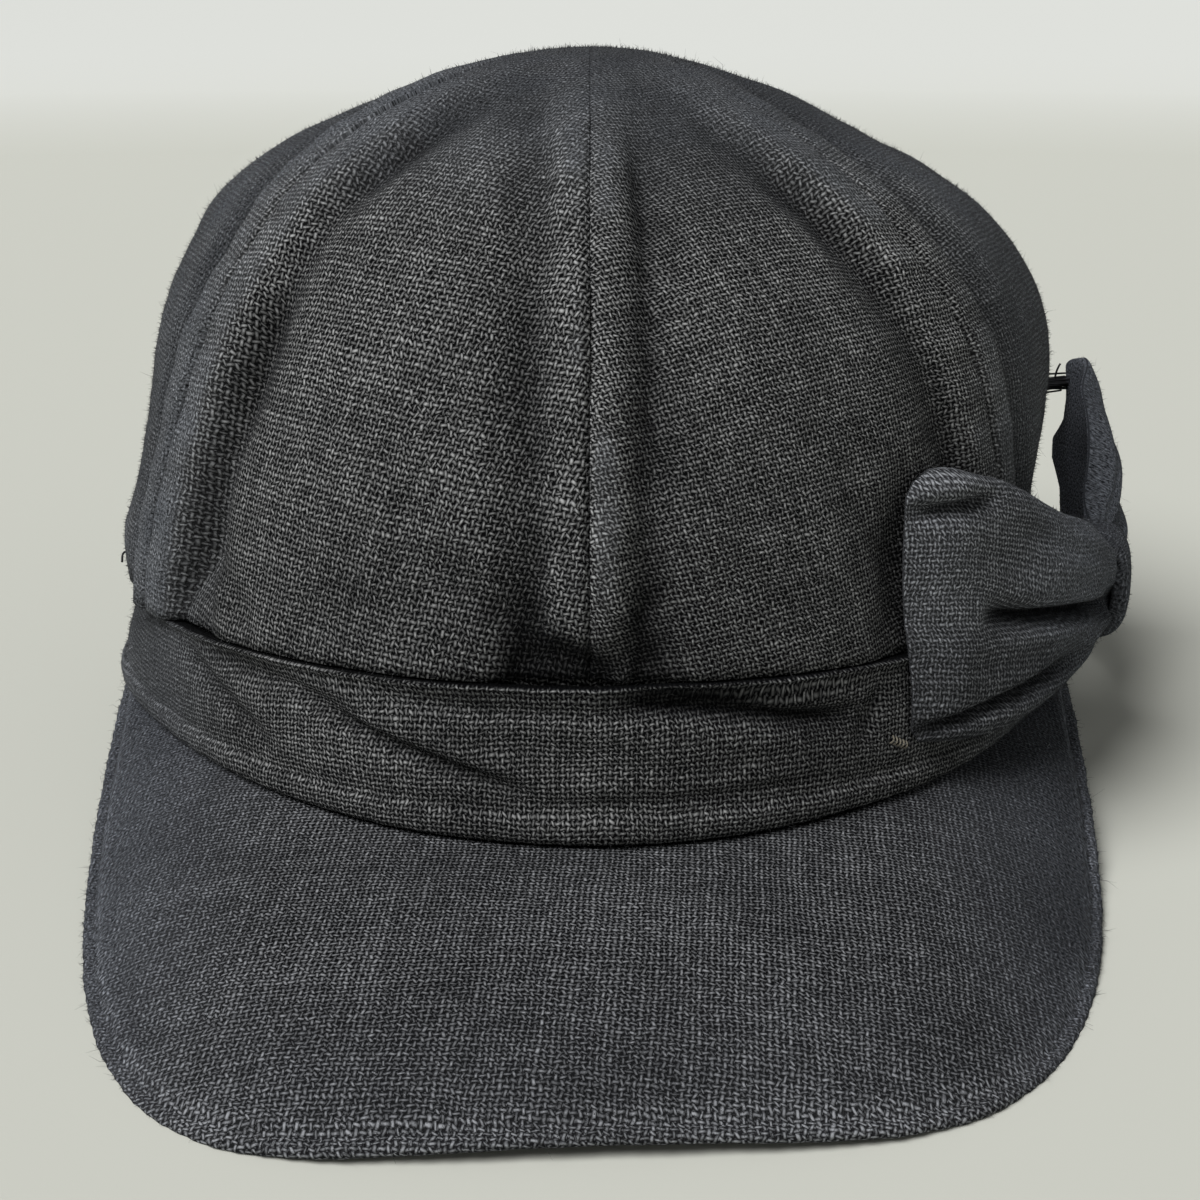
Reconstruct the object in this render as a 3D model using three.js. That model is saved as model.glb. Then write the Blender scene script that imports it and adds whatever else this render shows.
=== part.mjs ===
// Cadet cap in loosely woven black linen, with a stiff peak and a bow of doubled cloth on one side.
//
// Millimetres. The cap is drawn level, as it is worn: X to the wearer's left, Y to the back, Z up, with
// the rim at the back at Z 0. The last step tips it back onto its peak and rim, as it lies on a table.
import * as THREE from "three";

// Driving dimensions of the head opening and the walls
const HALF_WIDTH = 84;
const HALF_DEPTH = 104;
const CLOTH = 1.8;
const BAND_WALL = 2.0;
const PEAK_WALL = 2.6;
const BOW_WALL = 2.6;
const SEAM_GAP = 0.3;

// The band: its height at the sides, and how far its two edges hang lower in front
const BAND_HEIGHT = 17;
const BAND_TOP_DIP = 2.3;
const BAND_FOOT_DIP = 8;

// The crown: its height over the band, and one row for each level section from the band up
const CROWN_HEIGHT = 91;
const CROWN_LEAN_BACK = 4;
const CROWN_TIP = 0.985;
const crownSections = [
  { rise: 0.00, right: 83.8, left: 83.0, front: 103.0, back: 103.0 },
  { rise: 0.15, right: 82.3, left: 81.5, front: 102.8, back: 104.5 },
  { rise: 0.33, right: 79.6, left: 82.4, front: 100.4, back: 103.5 },
  { rise: 0.49, right: 76.6, left: 81.8, front: 96.4, back: 99.5 },
  { rise: 0.63, right: 71.4, left: 75.2, front: 90.6, back: 93.0 },
  { rise: 0.74, right: 64.8, left: 64.8, front: 83.4, back: 84.5 },
  { rise: 0.84, right: 50.6, left: 48.2, front: 73.0, back: 73.0 },
  { rise: 0.91, right: 34.6, left: 34.4, front: 61.0, back: 59.0 },
  { rise: 0.97, right: 16.5, left: 17.5, front: 41.0, back: 38.0 },
];

// The crown's seams: angle from the front at the band and at the tip, and how late each bends from one to
// the other. Its doubled allowance stands up on both sides, and a dip runs beside it at a distance
const seams = [
  { name: "back_right", foot: -180, tip: -180, bend: 0.8, ridge: 0.7, wide: 7.5, dip: 0.5, dipAt: 10.5 },
  { name: "side_back_right", foot: -138, tip: -141, bend: 0.8, ridge: 0.7, wide: 7.5, dip: 0.5, dipAt: 10.5 },
  { name: "side_right", foot: -96, tip: -90, bend: 0.8, ridge: 0.9, wide: 7.5, dip: 0.7, dipAt: 10.5 },
  { name: "front_right", foot: -57, tip: -34, bend: 1.6, ridge: 1.3, wide: 9.0, dip: 1.5, dipAt: 14.5 },
  { name: "front", foot: 0, tip: 0, bend: 0.8, ridge: 0.9, wide: 6.5, dip: 0.9, dipAt: 9.0 },
  { name: "front_left", foot: 54, tip: 28, bend: 1.3, ridge: 1.1, wide: 8.0, dip: 1.3, dipAt: 12.0 },
  { name: "side_left", foot: 96, tip: 90, bend: 0.8, ridge: 0.9, wide: 7.5, dip: 0.7, dipAt: 10.5 },
  { name: "side_back_left", foot: 138, tip: 141, bend: 0.8, ridge: 0.7, wide: 7.5, dip: 0.5, dipAt: 10.5 },
  { name: "back_left", foot: 180, tip: 180, bend: 0.8, ridge: 0.7, wide: 7.5, dip: 0.5, dipAt: 10.5 },
];
const RIDGE_EDGE = 1.5;
const SEAM_LINE = 1.2;
const DIP_WIDTH = 3.4;
const SEAM_FADE_NEAR = 4;
const SEAM_FADE_FAR = 44;

// Soft puffs and dents of the crown: angle from the front, height over the band, size across and up,
// and how far they stand out or, where negative, go in
const crownPuffs = [
  { at: -1, up: 3, wide: 8, tall: 6, out: -2.2 },
  { at: 44, up: 9, wide: 9, tall: 9, out: -1.6 },
  { at: 80, up: 17, wide: 15, tall: 9, out: -4.4 },
  { at: -78, up: 7, wide: 16, tall: 6, out: 1.6 },
];

// The eight crown panels lie between neighbouring seams, from the back right round the front
const panelNames = [
  "crown_panel_back_right",
  "crown_panel_side_back_right",
  "crown_panel_side_front_right",
  "crown_panel_front_right",
  "crown_panel_front_left",
  "crown_panel_side_front_left",
  "crown_panel_side_back_left",
  "crown_panel_back_left",
];

// The band's section from its foot up: share of the height, and how far it stands out
const bandSection = [
  { up: 0.00, out: -0.3 },
  { up: 0.12, out: 0.3 },
  { up: 0.24, out: -0.4 },
  { up: 0.45, out: 0.3 },
  { up: 0.75, out: 0.0 },
  { up: 0.93, out: -0.2 },
  { up: 1.00, out: -0.6 },
];

// Slanting folds in the band: their two ends as angle from the front and share of the height, and depth
const bandFolds = [
  { from: -34, high: 0.86, to: -4, low: 0.32, depth: 0.9 },
  { from: -44, high: 0.60, to: -31, low: 0.20, depth: 0.8 },
  { from: 4, high: 0.84, to: 26, low: 0.80, depth: 0.7 },
];
const FOLD_WIDTH = 2.4;

// Soft puffs and pinches of the band: angle, share of the height, size each way, and how far out
const bandPuffs = [
  { at: -76, up: 0.0, wide: 16, tall: 0.4, out: 1.8 },
  { at: -76, up: 1.0, wide: 16, tall: 0.5, out: -2.0 },
];

// The peak in plan and its slope
const PEAK_ROOT = -28;
const PEAK_REACH = 130.6;
const PEAK_HALF_RIGHT = 82.5;
const PEAK_HALF_LEFT = 84.7;
const PEAK_TAPER = 0.174;
const PEAK_ROUND = 3.36;
const PEAK_CORNER = 4.59;
const PEAK_SKEW = 0.057;
const PEAK_DROP = 23.5;
const PEAK_DROP_RUN = 128;
const PEAK_ARCH = 5;
const PEAK_ARCH_WIDTH = 66;
const PEAK_CROWNING = 1.6;
const PEAK_CROWNED_LENGTH = 40;
const PEAK_ROOT_UNDER = 0.2;
const PEAK_ROOT_CLEAR = 0.1;
const PEAK_EDGE_ROUND = 0.7;
const PEAK_END_ANGLE = 71;
const PEAK_END_HANG = 1.6;
const PEAK_END_RUN = 14;

// The bow: sections along each half, from its outer end to the knot. Angle from the front, gap to the
// cap, centre height, half height, and depth of its gathers
const bowFront = [
  { angle: 34, off: 0.2, centre: 22.4, half: 20.0, gather: 0.0 },
  { angle: 39, off: 1.4, centre: 22.0, half: 20.6, gather: 0.2 },
  { angle: 47, off: 3.4, centre: 20.0, half: 18.8, gather: 0.6 },
  { angle: 55, off: 5.4, centre: 18.0, half: 14.6, gather: 1.1 },
  { angle: 62, off: 6.4, centre: 17.8, half: 11.0, gather: 1.4 },
  { angle: 67, off: 5.6, centre: 17.2, half: 8.0, gather: 1.2 },
  { angle: 70, off: 4.8, centre: 17.2, half: 6.2, gather: 0.9 },
];
const bowBack = [
  { angle: 104, off: 15.2, centre: 29.0, half: 20.6, gather: 0.0 },
  { angle: 102, off: 15.2, centre: 29.0, half: 22.0, gather: 0.1 },
  { angle: 96, off: 15.2, centre: 27.4, half: 21.0, gather: 0.6 },
  { angle: 90, off: 14.0, centre: 23.8, half: 17.0, gather: 1.1 },
  { angle: 84, off: 11.0, centre: 19.8, half: 11.6, gather: 1.4 },
  { angle: 79, off: 6.8, centre: 17.6, half: 8.2, gather: 1.2 },
  { angle: 75, off: 5.0, centre: 17.2, half: 6.8, gather: 0.9 },
];

// Single folds in the bow's outer face: share of the half height, the two angles it runs between, depth
const bowFolds = [
  { share: -0.04, from: 41, to: 76, depth: 2.0, wide: 0.16 },
  { share: -0.70, from: 32, to: 52, depth: 0.9, wide: 0.12 },
  { share: 0.10, from: 74, to: 98, depth: 1.8, wide: 0.16 },
];
const GATHER_FOLDS = 2.5;
const BOW_CLEAR = 0.3;
const BOW_FREE = 6;
const BOW_EDGE_THINNER = 0.35;
const BOW_CREASE_LEAST = 0.4;
const BOW_HIGHEST = 0.9;
const BAND_STANDS_OUT = 0.4;
const KNOT_ANGLE = 72.5;
const KNOT_LENGTH = 15;
const KNOT_HALF_HEIGHT = 9.8;
const KNOT_HALF_DEPTH = 6.8;
const KNOT_OFF = 6.8;
const KNOT_CENTRE = 17.2;
const KNOT_WALL = 1.5;

// How the cap lies: tipped back until peak and rim both touch the table, and pressed flat there
const MOST_TIP = 12;
const PRESSED_FLAT = 0.5;

const linen = { color: 0x202023, roughness: 0.95, metalness: 0 };

const radians = THREE.MathUtils.degToRad;
const mix = THREE.MathUtils.lerp;
const hump = (distance) => Math.exp(-distance * distance);
const frontness = (angle) => Math.max(0, Math.cos(angle)) ** 2;

// A smooth value between the rows of a table: a cubic through the rows, whose slope at each row is the
// slope between its two neighbours.
function read(rows, key, column, at) {
  const last = rows.length - 1;
  const rising = rows[last][key] > rows[0][key] ? 1 : -1;
  let i = 0;
  while (i < last - 1 && (at - rows[i + 1][key]) * rising > 0) i += 1;
  const slope = (k) => {
    const a = rows[Math.max(0, k - 1)];
    const b = rows[Math.min(last, k + 1)];
    return (b[column] - a[column]) / (b[key] - a[key]);
  };
  const step = rows[i + 1][key] - rows[i][key];
  const t = THREE.MathUtils.clamp((at - rows[i][key]) / step, 0, 1);
  const rest = 1 - t;
  const value = rows[i][column] * rest * rest * (1 + 2 * t) + rows[i + 1][column] * t * t * (3 - 2 * t);
  return value + slope(i) * step * t * rest * rest - slope(i + 1) * step * t * t * rest;
}

// The height of the band's upper and lower edge at an angle from the front.
const bandTop = (angle) => BAND_HEIGHT - BAND_TOP_DIP * frontness(angle) ** 0.8;
const bandFoot = (angle) => -BAND_FOOT_DIP * frontness(angle);

// A point on the oval round the head, moved out by a distance.
function onOval(angle, out, height) {
  const x = (HALF_WIDTH + out) * Math.sin(angle);
  const y = -(HALF_DEPTH + out) * Math.cos(angle);
  return new THREE.Vector3(x, y, height);
}

// The crown's sections hold their reach divided by the root of a circle of the same rise, so that the
// dome closes round at its tip.
const dome = (rise) => Math.sqrt(Math.max(0, 1 - rise * rise));
const crownRatios = crownSections.map((row) => ({
  rise: row.rise,
  right: row.right / dome(row.rise),
  left: row.left / dome(row.rise),
  front: row.front / dome(row.rise),
  back: row.back / dome(row.rise),
}));

// The reach of the crown to the side and to the front or back, at an angle and a rise.
function crownReach(angle, rise) {
  const side = Math.sin(angle) < 0 ? "right" : "left";
  const end = Math.cos(angle) > 0 ? "front" : "back";
  return {
    across: dome(rise) * read(crownRatios, "rise", side, rise),
    along: dome(rise) * read(crownRatios, "rise", end, rise),
  };
}

// A point on the smooth crown, with no seams, at an angle and a turn up from 0 at the band to 1 at the tip.
function smoothCrown(angle, turn) {
  const rise = Math.sin(turn * Math.PI / 2);
  const reach = crownReach(angle, rise);
  const foot = bandTop(angle) + SEAM_GAP;
  const height = mix(foot, BAND_HEIGHT + CROWN_HEIGHT, rise);
  const y = -reach.along * Math.cos(angle) + CROWN_LEAN_BACK * rise * rise;
  return new THREE.Vector3(reach.across * Math.sin(angle), y, height);
}

// The direction out of a surface given as a function of two values.
function outward(surface, a, b, centre) {
  const step = 0.004;
  const along = surface(a + step, b).sub(surface(a - step, b));
  const up = surface(a, b + step).sub(surface(a, b - step));
  const normal = along.cross(up).normalize();
  const away = surface(a, b).sub(centre);
  return normal.dot(away) < 0 ? normal.negate() : normal;
}
const crownCentre = new THREE.Vector3(0, 0, BAND_HEIGHT);
const crownOutward = (angle, turn) => outward(smoothCrown, angle, Math.min(turn, 0.99), crownCentre);

// A seam's angle at a turn up the crown.
function seamAngle(seam, turn) {
  const rise = Math.sin(turn * Math.PI / 2);
  return radians(mix(seam.foot, seam.tip, rise ** seam.bend));
}

// How far the crown's cloth stands out of the smooth crown beside its two seams and in its puffs.
function crownRelief(angle, turn, seamA, seamB) {
  const rise = Math.sin(turn * Math.PI / 2);
  const reach = crownReach(angle, rise);
  const speed = Math.hypot(reach.across * Math.cos(angle), reach.along * Math.sin(angle));
  const fade = THREE.MathUtils.smoothstep(speed, SEAM_FADE_NEAR, SEAM_FADE_FAR);
  let relief = 0;
  for (const seam of [seamA, seamB]) {
    const apart = Math.abs(angle - seamAngle(seam, turn)) * speed;
    const beyond = THREE.MathUtils.smoothstep(apart, seam.wide - RIDGE_EDGE, seam.wide + RIDGE_EDGE);
    relief += fade * seam.ridge * (1 - beyond);
    relief -= fade * seam.ridge * hump(apart / SEAM_LINE);
    relief -= fade * seam.dip * hump((apart - seam.dipAt) / DIP_WIDTH);
  }
  const up = CROWN_HEIGHT * rise;
  for (const puff of crownPuffs) {
    const across = (angle - radians(puff.at)) * HALF_WIDTH;
    relief += puff.out * hump(Math.hypot(across / puff.wide, (up - puff.up) / puff.tall));
  }
  return relief;
}

// Tips a point back as the cap lies, and presses it flat where it would go under the table.
const lying = { turn: new THREE.Matrix4(), lift: 0 };
const tipped = (point) => point.clone().applyMatrix4(lying.turn);
function lie(point) {
  const moved = tipped(point);
  moved.z = Math.max(0, moved.z + lying.lift);
  return moved;
}

// A closed body from closed rings of points that follow each other round until the last joins the first.
function ringBody(rings) {
  const count = rings[0].length;
  const positions = rings.flat().flatMap((p) => lie(p).toArray());
  const faces = [];
  for (let i = 0; i < rings.length; i += 1) {
    const next = (i + 1) % rings.length;
    for (let j = 0; j < count; j += 1) {
      const k = (j + 1) % count;
      faces.push(i * count + j, next * count + j, next * count + k);
      faces.push(i * count + j, next * count + k, i * count + k);
    }
  }
  return bodyFrom(positions, faces);
}

// A closed wall from a grid of outer points and a grid of inner points of the same size.
function wallBody(outer, inner) {
  const rows = outer.length;
  const columns = outer[0].length;
  const positions = [...outer.flat(), ...inner.flat()].flatMap((p) => lie(p).toArray());
  const out = (i, j) => i * columns + j;
  const into = (i, j) => rows * columns + i * columns + j;
  const faces = [];
  const four = (a, b, c, d) => faces.push(a, b, c, a, c, d);
  for (let i = 0; i < rows - 1; i += 1) {
    for (let j = 0; j < columns - 1; j += 1) {
      four(out(i, j), out(i, j + 1), out(i + 1, j + 1), out(i + 1, j));
      four(into(i, j), into(i + 1, j), into(i + 1, j + 1), into(i, j + 1));
    }
    four(out(i, 0), out(i + 1, 0), into(i + 1, 0), into(i, 0));
    four(out(i, columns - 1), into(i, columns - 1), into(i + 1, columns - 1), out(i + 1, columns - 1));
  }
  for (let j = 0; j < columns - 1; j += 1) {
    four(out(0, j), into(0, j), into(0, j + 1), out(0, j + 1));
    four(out(rows - 1, j), out(rows - 1, j + 1), into(rows - 1, j + 1), into(rows - 1, j));
  }
  return bodyFrom(positions, faces);
}

// A geometry from positions and faces, turned round if its faces point in.
function bodyFrom(positions, faces) {
  let volume = 0;
  const corner = (k) => new THREE.Vector3().fromArray(positions, 3 * faces[k]);
  for (let i = 0; i < faces.length; i += 3) {
    volume += corner(i).dot(corner(i + 1).cross(corner(i + 2)));
  }
  if (volume < 0) faces.reverse();
  const geometry = new THREE.BufferGeometry();
  geometry.setAttribute("position", new THREE.Float32BufferAttribute(positions, 3));
  geometry.setIndex(faces);
  geometry.computeVertexNormals();
  return geometry;
}

// One crown panel: a wall between two seams, from the band to the tip.
const PANEL_TURNS = [0, 0.05, 0.11, 0.17, 0.25, 0.34, 0.43, 0.52, 0.61, 0.7, 0.79, 0.87, 0.93, CROWN_TIP];
const PANEL_SHARES = [0, 0.03, 0.09, 0.14, 0.2, 0.3, 0.5, 0.7, 0.8, 0.86, 0.91, 0.97, 1];
function crownPanel(seamA, seamB) {
  const outer = [];
  const inner = [];
  for (const turn of PANEL_TURNS) {
    const rise = Math.sin(turn * Math.PI / 2);
    const start = seamAngle(seamA, turn);
    const end = seamAngle(seamB, turn);
    const halfGap = (angle) => {
      const reach = crownReach(angle, rise);
      return SEAM_GAP / 2 / Math.hypot(reach.across * Math.cos(angle), reach.along * Math.sin(angle));
    };
    const angles = PANEL_SHARES.map((share) => mix(start + halfGap(start), end - halfGap(end), share));
    outer.push(angles.map((angle) => {
      const relief = crownRelief(angle, turn, seamA, seamB);
      return smoothCrown(angle, turn).addScaledVector(crownOutward(angle, turn), relief);
    }));
    inner.push(angles.map((angle) => {
      const dent = Math.min(0, crownRelief(angle, turn, seamA, seamB));
      return smoothCrown(angle, turn).addScaledVector(crownOutward(angle, turn), dent * 0.8 - CLOTH);
    }));
  }
  return wallBody(outer, inner);
}

// How far the band's slanting folds and puffs take it in at an angle and a share of its height.
function bandFoldDepth(angle, up) {
  let depth = 0;
  const degrees = THREE.MathUtils.radToDeg(angle);
  for (const puff of bandPuffs) {
    depth -= puff.out * hump(Math.hypot((degrees - puff.at) / puff.wide, (up - puff.up) / puff.tall));
  }
  for (const fold of bandFolds) {
    const share = (degrees - fold.from) / (fold.to - fold.from);
    if (share > 0 && share < 1) {
      const line = mix(fold.high, fold.low, share);
      const apart = (up - line) * BAND_HEIGHT / FOLD_WIDTH;
      depth += fold.depth * hump(apart) * Math.sin(Math.PI * share);
    }
  }
  return depth;
}

// The band: a closed ring, finer in front where its folds are.
const BAND_FRONT_STEPS = 48;
const BAND_BACK_STEPS = 26;
const BAND_FINE_ANGLE = 75;
function bandBody() {
  const angles = [];
  for (let i = 0; i < BAND_FRONT_STEPS; i += 1) {
    angles.push(mix(-BAND_FINE_ANGLE, BAND_FINE_ANGLE, i / BAND_FRONT_STEPS));
  }
  for (let i = 0; i < BAND_BACK_STEPS; i += 1) {
    angles.push(mix(BAND_FINE_ANGLE, 360 - BAND_FINE_ANGLE, i / BAND_BACK_STEPS));
  }
  const rings = angles.map((degrees) => {
    const angle = radians(degrees);
    const foot = bandFoot(angle);
    const top = bandTop(angle);
    const outside = bandSection.map((row) => {
      const out = row.out - bandFoldDepth(angle, row.up);
      return onOval(angle, out, mix(foot, top, row.up));
    });
    const inside = [1, 0.75, 0.4, 0].map((up) => {
      const out = -BAND_WALL - 0.6 * THREE.MathUtils.clamp(bandFoldDepth(angle, up), 0, 1);
      return onOval(angle, out, mix(foot, top, up));
    });
    return [...outside, ...inside];
  });
  return ringBody(rings);
}

// The height of the peak's upper face over its plan, at its outer edge.
function peakHeight(x, y) {
  const run = Math.max(0, PEAK_ROOT - y);
  const arch = PEAK_ARCH * (x / PEAK_ARCH_WIDTH) ** 2 * Math.min(1, run / (PEAK_DROP_RUN / 2));
  const hang = PEAK_END_HANG * Math.max(0, 1 - run / PEAK_END_RUN);
  return -PEAK_DROP * run / PEAK_DROP_RUN - arch - hang;
}

// The peak's outer edge in plan, one side of the middle: 0 at its root and 1 in the middle of the front.
function peakEdge(side, along) {
  const half = side < 0 ? PEAK_HALF_RIGHT : PEAK_HALF_LEFT;
  const body = Math.max(0, 1 - along ** PEAK_ROUND) ** (1 / PEAK_CORNER);
  const x = side * half * (1 - PEAK_TAPER * along) * body;
  const y = PEAK_ROOT - PEAK_REACH * along + PEAK_SKEW * x * along;
  return new THREE.Vector3(x, y, peakHeight(x, y));
}

// Points spread evenly round the peak's outer edge, from its right root over the front to its left root.
function peakEdgePoints(count) {
  const fine = [];
  const steps = 200;
  for (let i = 0; i <= steps; i += 1) fine.push(peakEdge(-1, 1 - (1 - i / steps) ** 2));
  for (let i = steps - 1; i >= 0; i -= 1) fine.push(peakEdge(1, 1 - (1 - i / steps) ** 2));
  const curve = new THREE.CatmullRomCurve3(fine, false, "chordal");
  curve.arcLengthDivisions = 800;
  return curve.getSpacedPoints(count - 1);
}

// The peak: a wall from under the band's foot to its outer edge, a little domed along its length.
const PEAK_COLUMNS = 33;
const PEAK_STEPS = [0, 0.12, 0.35, 0.6, 0.82, 0.96, 1];
function peakBody() {
  const edge = peakEdgePoints(PEAK_COLUMNS);
  const upper = [];
  const lower = [];
  for (const step of PEAK_STEPS) {
    const top = [];
    const under = [];
    edge.forEach((outer, j) => {
      const angle = radians(mix(-PEAK_END_ANGLE, PEAK_END_ANGLE, j / (PEAK_COLUMNS - 1)));
      const root = onOval(angle, PEAK_ROOT_UNDER - BAND_WALL, bandFoot(angle) - SEAM_GAP - PEAK_ROOT_CLEAR);
      const point = root.clone().lerp(outer, step);
      const length = root.distanceTo(outer);
      point.z += PEAK_CROWNING * Math.min(1, length / PEAK_CROWNED_LENGTH) * 4 * step * (1 - step);
      const thin = step === 1 ? PEAK_EDGE_ROUND : 0;
      top.push(point.clone().setZ(point.z - thin));
      under.push(point.clone().setZ(point.z - PEAK_WALL + thin));
    });
    upper.push(top);
    lower.push(under);
  }
  return wallBody(upper, lower);
}

// The cap's own outline at an angle and a height, on which the bow lies: the band, then the crown.
function capSurface(angle, height) {
  const top = bandTop(angle);
  if (height <= top) return onOval(angle, BAND_STANDS_OUT, height);
  const rise = THREE.MathUtils.clamp((height - top) / (BAND_HEIGHT + CROWN_HEIGHT - top), 0, BOW_HIGHEST);
  return smoothCrown(angle, Math.asin(rise) / (Math.PI / 2)).setZ(height);
}

// The level direction out of the oval at an angle.
function levelOut(angle) {
  return new THREE.Vector3(HALF_DEPTH * Math.sin(angle), -HALF_WIDTH * Math.cos(angle), 0).normalize();
}

// How far the bow's single folds sink at an angle in degrees and a share of the half height.
function bowCrease(degrees, share) {
  let depth = 0;
  for (const fold of bowFolds) {
    const along = (degrees - fold.from) / (fold.to - fold.from);
    if (along > 0 && along < 1) {
      depth += fold.depth * Math.sin(Math.PI * along) * hump((share - fold.share) / fold.wide);
    }
  }
  return depth;
}

// One half of the bow: a wall of doubled cloth from its outer end into the knot, folded in gathers that
// deepen towards the knot.
const BOW_STEPS = 12;
const BOW_ROWS = 12;
function bowHalf(sections) {
  const outer = [];
  const inner = [];
  const first = sections[0].angle;
  const last = sections[sections.length - 1].angle;
  for (let i = 0; i <= BOW_STEPS; i += 1) {
    const degrees = mix(first, last, i / BOW_STEPS);
    const angle = radians(degrees);
    const off = read(sections, "angle", "off", degrees);
    const centre = read(sections, "angle", "centre", degrees);
    const half = read(sections, "angle", "half", degrees);
    const gather = read(sections, "angle", "gather", degrees);
    const direction = levelOut(angle);
    const outside = [];
    const inside = [];
    for (let j = 0; j <= BOW_ROWS; j += 1) {
      const share = mix(-1, 1, j / BOW_ROWS);
      const height = centre + half * share;
      const fold = gather * Math.cos(GATHER_FOLDS * Math.PI * share);
      const puff = gather * (1 - share * share);
      const crease = bowCrease(degrees, share);
      const seat = capSurface(angle, Math.max(height, bandFoot(angle)));
      const level = capSurface(angle, centre).lerp(seat, Math.max(0, 1 - off / BOW_FREE));
      level.z = height;
      const back = level.addScaledVector(direction, off + fold / 2 + BOW_CLEAR);
      const rounded = BOW_WALL * (1 - BOW_EDGE_THINNER * Math.abs(share) ** 6);
      const thickness = rounded + puff - crease * Math.min(1, gather + BOW_CREASE_LEAST);
      inside.push(back);
      outside.push(back.clone().addScaledVector(direction, thickness));
    }
    outer.push(outside);
    inner.push(inside);
  }
  return wallBody(outer, inner);
}

// The knot: a short flat tube of cloth round the gathered middle of the bow, with soft ends and a waist.
const KNOT_SIDES = 20;
const KNOT_SQUARE = 0.75;
const KNOT_SOFT_END = 1;
const KNOT_SOFTER = 0.5;
const KNOT_WAIST = 0.3;
function bowKnot() {
  const angle = radians(KNOT_ANGLE);
  const out = levelOut(angle);
  const along = new THREE.Vector3(0, 0, 1).cross(out).normalize();
  const middle = onOval(angle, 0, KNOT_CENTRE).addScaledVector(out, KNOT_OFF);
  const loop = (place, shrink) => {
    const points = [];
    for (let j = 0; j < KNOT_SIDES; j += 1) {
      const turn = 2 * Math.PI * j / KNOT_SIDES;
      const squared = (value) => Math.sign(value) * Math.abs(value) ** KNOT_SQUARE;
      const high = (KNOT_HALF_HEIGHT - shrink) * squared(Math.sin(turn));
      const deep = (KNOT_HALF_DEPTH - shrink) * squared(Math.cos(turn));
      const point = middle.clone().addScaledVector(along, place).addScaledVector(out, deep);
      point.z += high;
      points.push(point);
    }
    return points;
  };
  const halfLength = KNOT_LENGTH / 2;
  const rings = [
    loop(-halfLength, KNOT_SOFTER),
    loop(-halfLength + KNOT_SOFT_END, 0),
    loop(0, KNOT_WAIST),
    loop(halfLength - KNOT_SOFT_END, 0),
    loop(halfLength, KNOT_SOFTER),
    loop(halfLength, KNOT_WALL),
    loop(-halfLength, KNOT_WALL),
  ];
  return ringBody(rings);
}

// Finds how far back the cap tips before its peak and rim touch the table together, halving the range
// of angles again and again, and then how far up it moves for the table to be at Z 0.
function settle() {
  const rim = [];
  for (let degrees = 90; degrees <= 270; degrees += 5) {
    rim.push(onOval(radians(degrees), -BAND_WALL / 2, 0));
  }
  const edge = peakEdgePoints(PEAK_COLUMNS).map((p) => p.clone().setZ(p.z - PEAK_WALL + PEAK_EDGE_ROUND));
  const floorOf = (points) => Math.min(...points.map((p) => tipped(p).z));
  const halvings = 30;
  let least = 0;
  let most = MOST_TIP;
  for (let i = 0; i < halvings; i += 1) {
    const angle = mix(least, most, 0.5);
    lying.turn.makeRotationX(-radians(angle));
    if (floorOf(edge) > floorOf(rim)) {
      most = angle;
    } else {
      least = angle;
    }
  }
  lying.lift = -floorOf(rim) - PRESSED_FLAT;
}
settle();

const group = new THREE.Group();
function add(name, geometry) {
  const mesh = new THREE.Mesh(geometry, new THREE.MeshStandardMaterial(linen));
  mesh.name = name;
  group.add(mesh);
}

panelNames.forEach((name, i) => add(name, crownPanel(seams[i], seams[i + 1])));
add("band", bandBody());
add("peak", peakBody());
add("bow_front_half", bowHalf(bowFront));
add("bow_back_half", bowHalf(bowBack));
add("bow_knot", bowKnot());

// The middle of the cap's box, seen from above, goes over the origin.
const middle = new THREE.Box3().setFromObject(group).getCenter(new THREE.Vector3());
for (const mesh of group.children) mesh.geometry.translate(-middle.x, -middle.y, 0);

export default group;
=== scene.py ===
import math

import bpy
import numpy as np
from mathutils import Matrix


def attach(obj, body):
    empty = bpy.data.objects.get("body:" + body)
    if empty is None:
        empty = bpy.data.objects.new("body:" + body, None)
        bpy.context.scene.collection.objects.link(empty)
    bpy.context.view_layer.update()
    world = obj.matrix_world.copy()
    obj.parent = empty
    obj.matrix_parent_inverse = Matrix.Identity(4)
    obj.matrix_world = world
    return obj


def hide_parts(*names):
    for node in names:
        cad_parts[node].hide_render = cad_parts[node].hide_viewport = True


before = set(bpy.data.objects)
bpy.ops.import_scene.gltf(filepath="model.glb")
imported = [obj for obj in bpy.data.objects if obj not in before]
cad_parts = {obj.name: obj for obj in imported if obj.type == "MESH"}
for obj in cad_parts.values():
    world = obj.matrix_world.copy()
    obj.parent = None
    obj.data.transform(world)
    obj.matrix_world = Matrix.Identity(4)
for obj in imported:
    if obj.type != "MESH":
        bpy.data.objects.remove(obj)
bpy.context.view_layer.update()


# How the cap lies. Every piece is drawn level, as the cap is worn, in millimetres: X to the wearer's left,
# Y to the back and Z up from the rim at the back. The cap then tips back onto its peak and its rim, and
# the table is at height 0.
TIP_BACK = math.radians(6.2241)
SET_DOWN = np.array([-7.941, 26.297, 10.667])


def lie(points):
    """Turns points back about X by the tip, moves them over the origin, keeps them off the table, and
    gives them in metres."""
    x, y, z = np.moveaxis(np.asarray(points, float), -1, 0)
    tipped_y = y * math.cos(TIP_BACK) + z * math.sin(TIP_BACK)
    tipped_z = z * math.cos(TIP_BACK) - y * math.sin(TIP_BACK)
    placed = np.stack([x, tipped_y, tipped_z], -1) + SET_DOWN
    placed[..., 2] = np.maximum(placed[..., 2], 0.05)
    return placed / 1000


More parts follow.
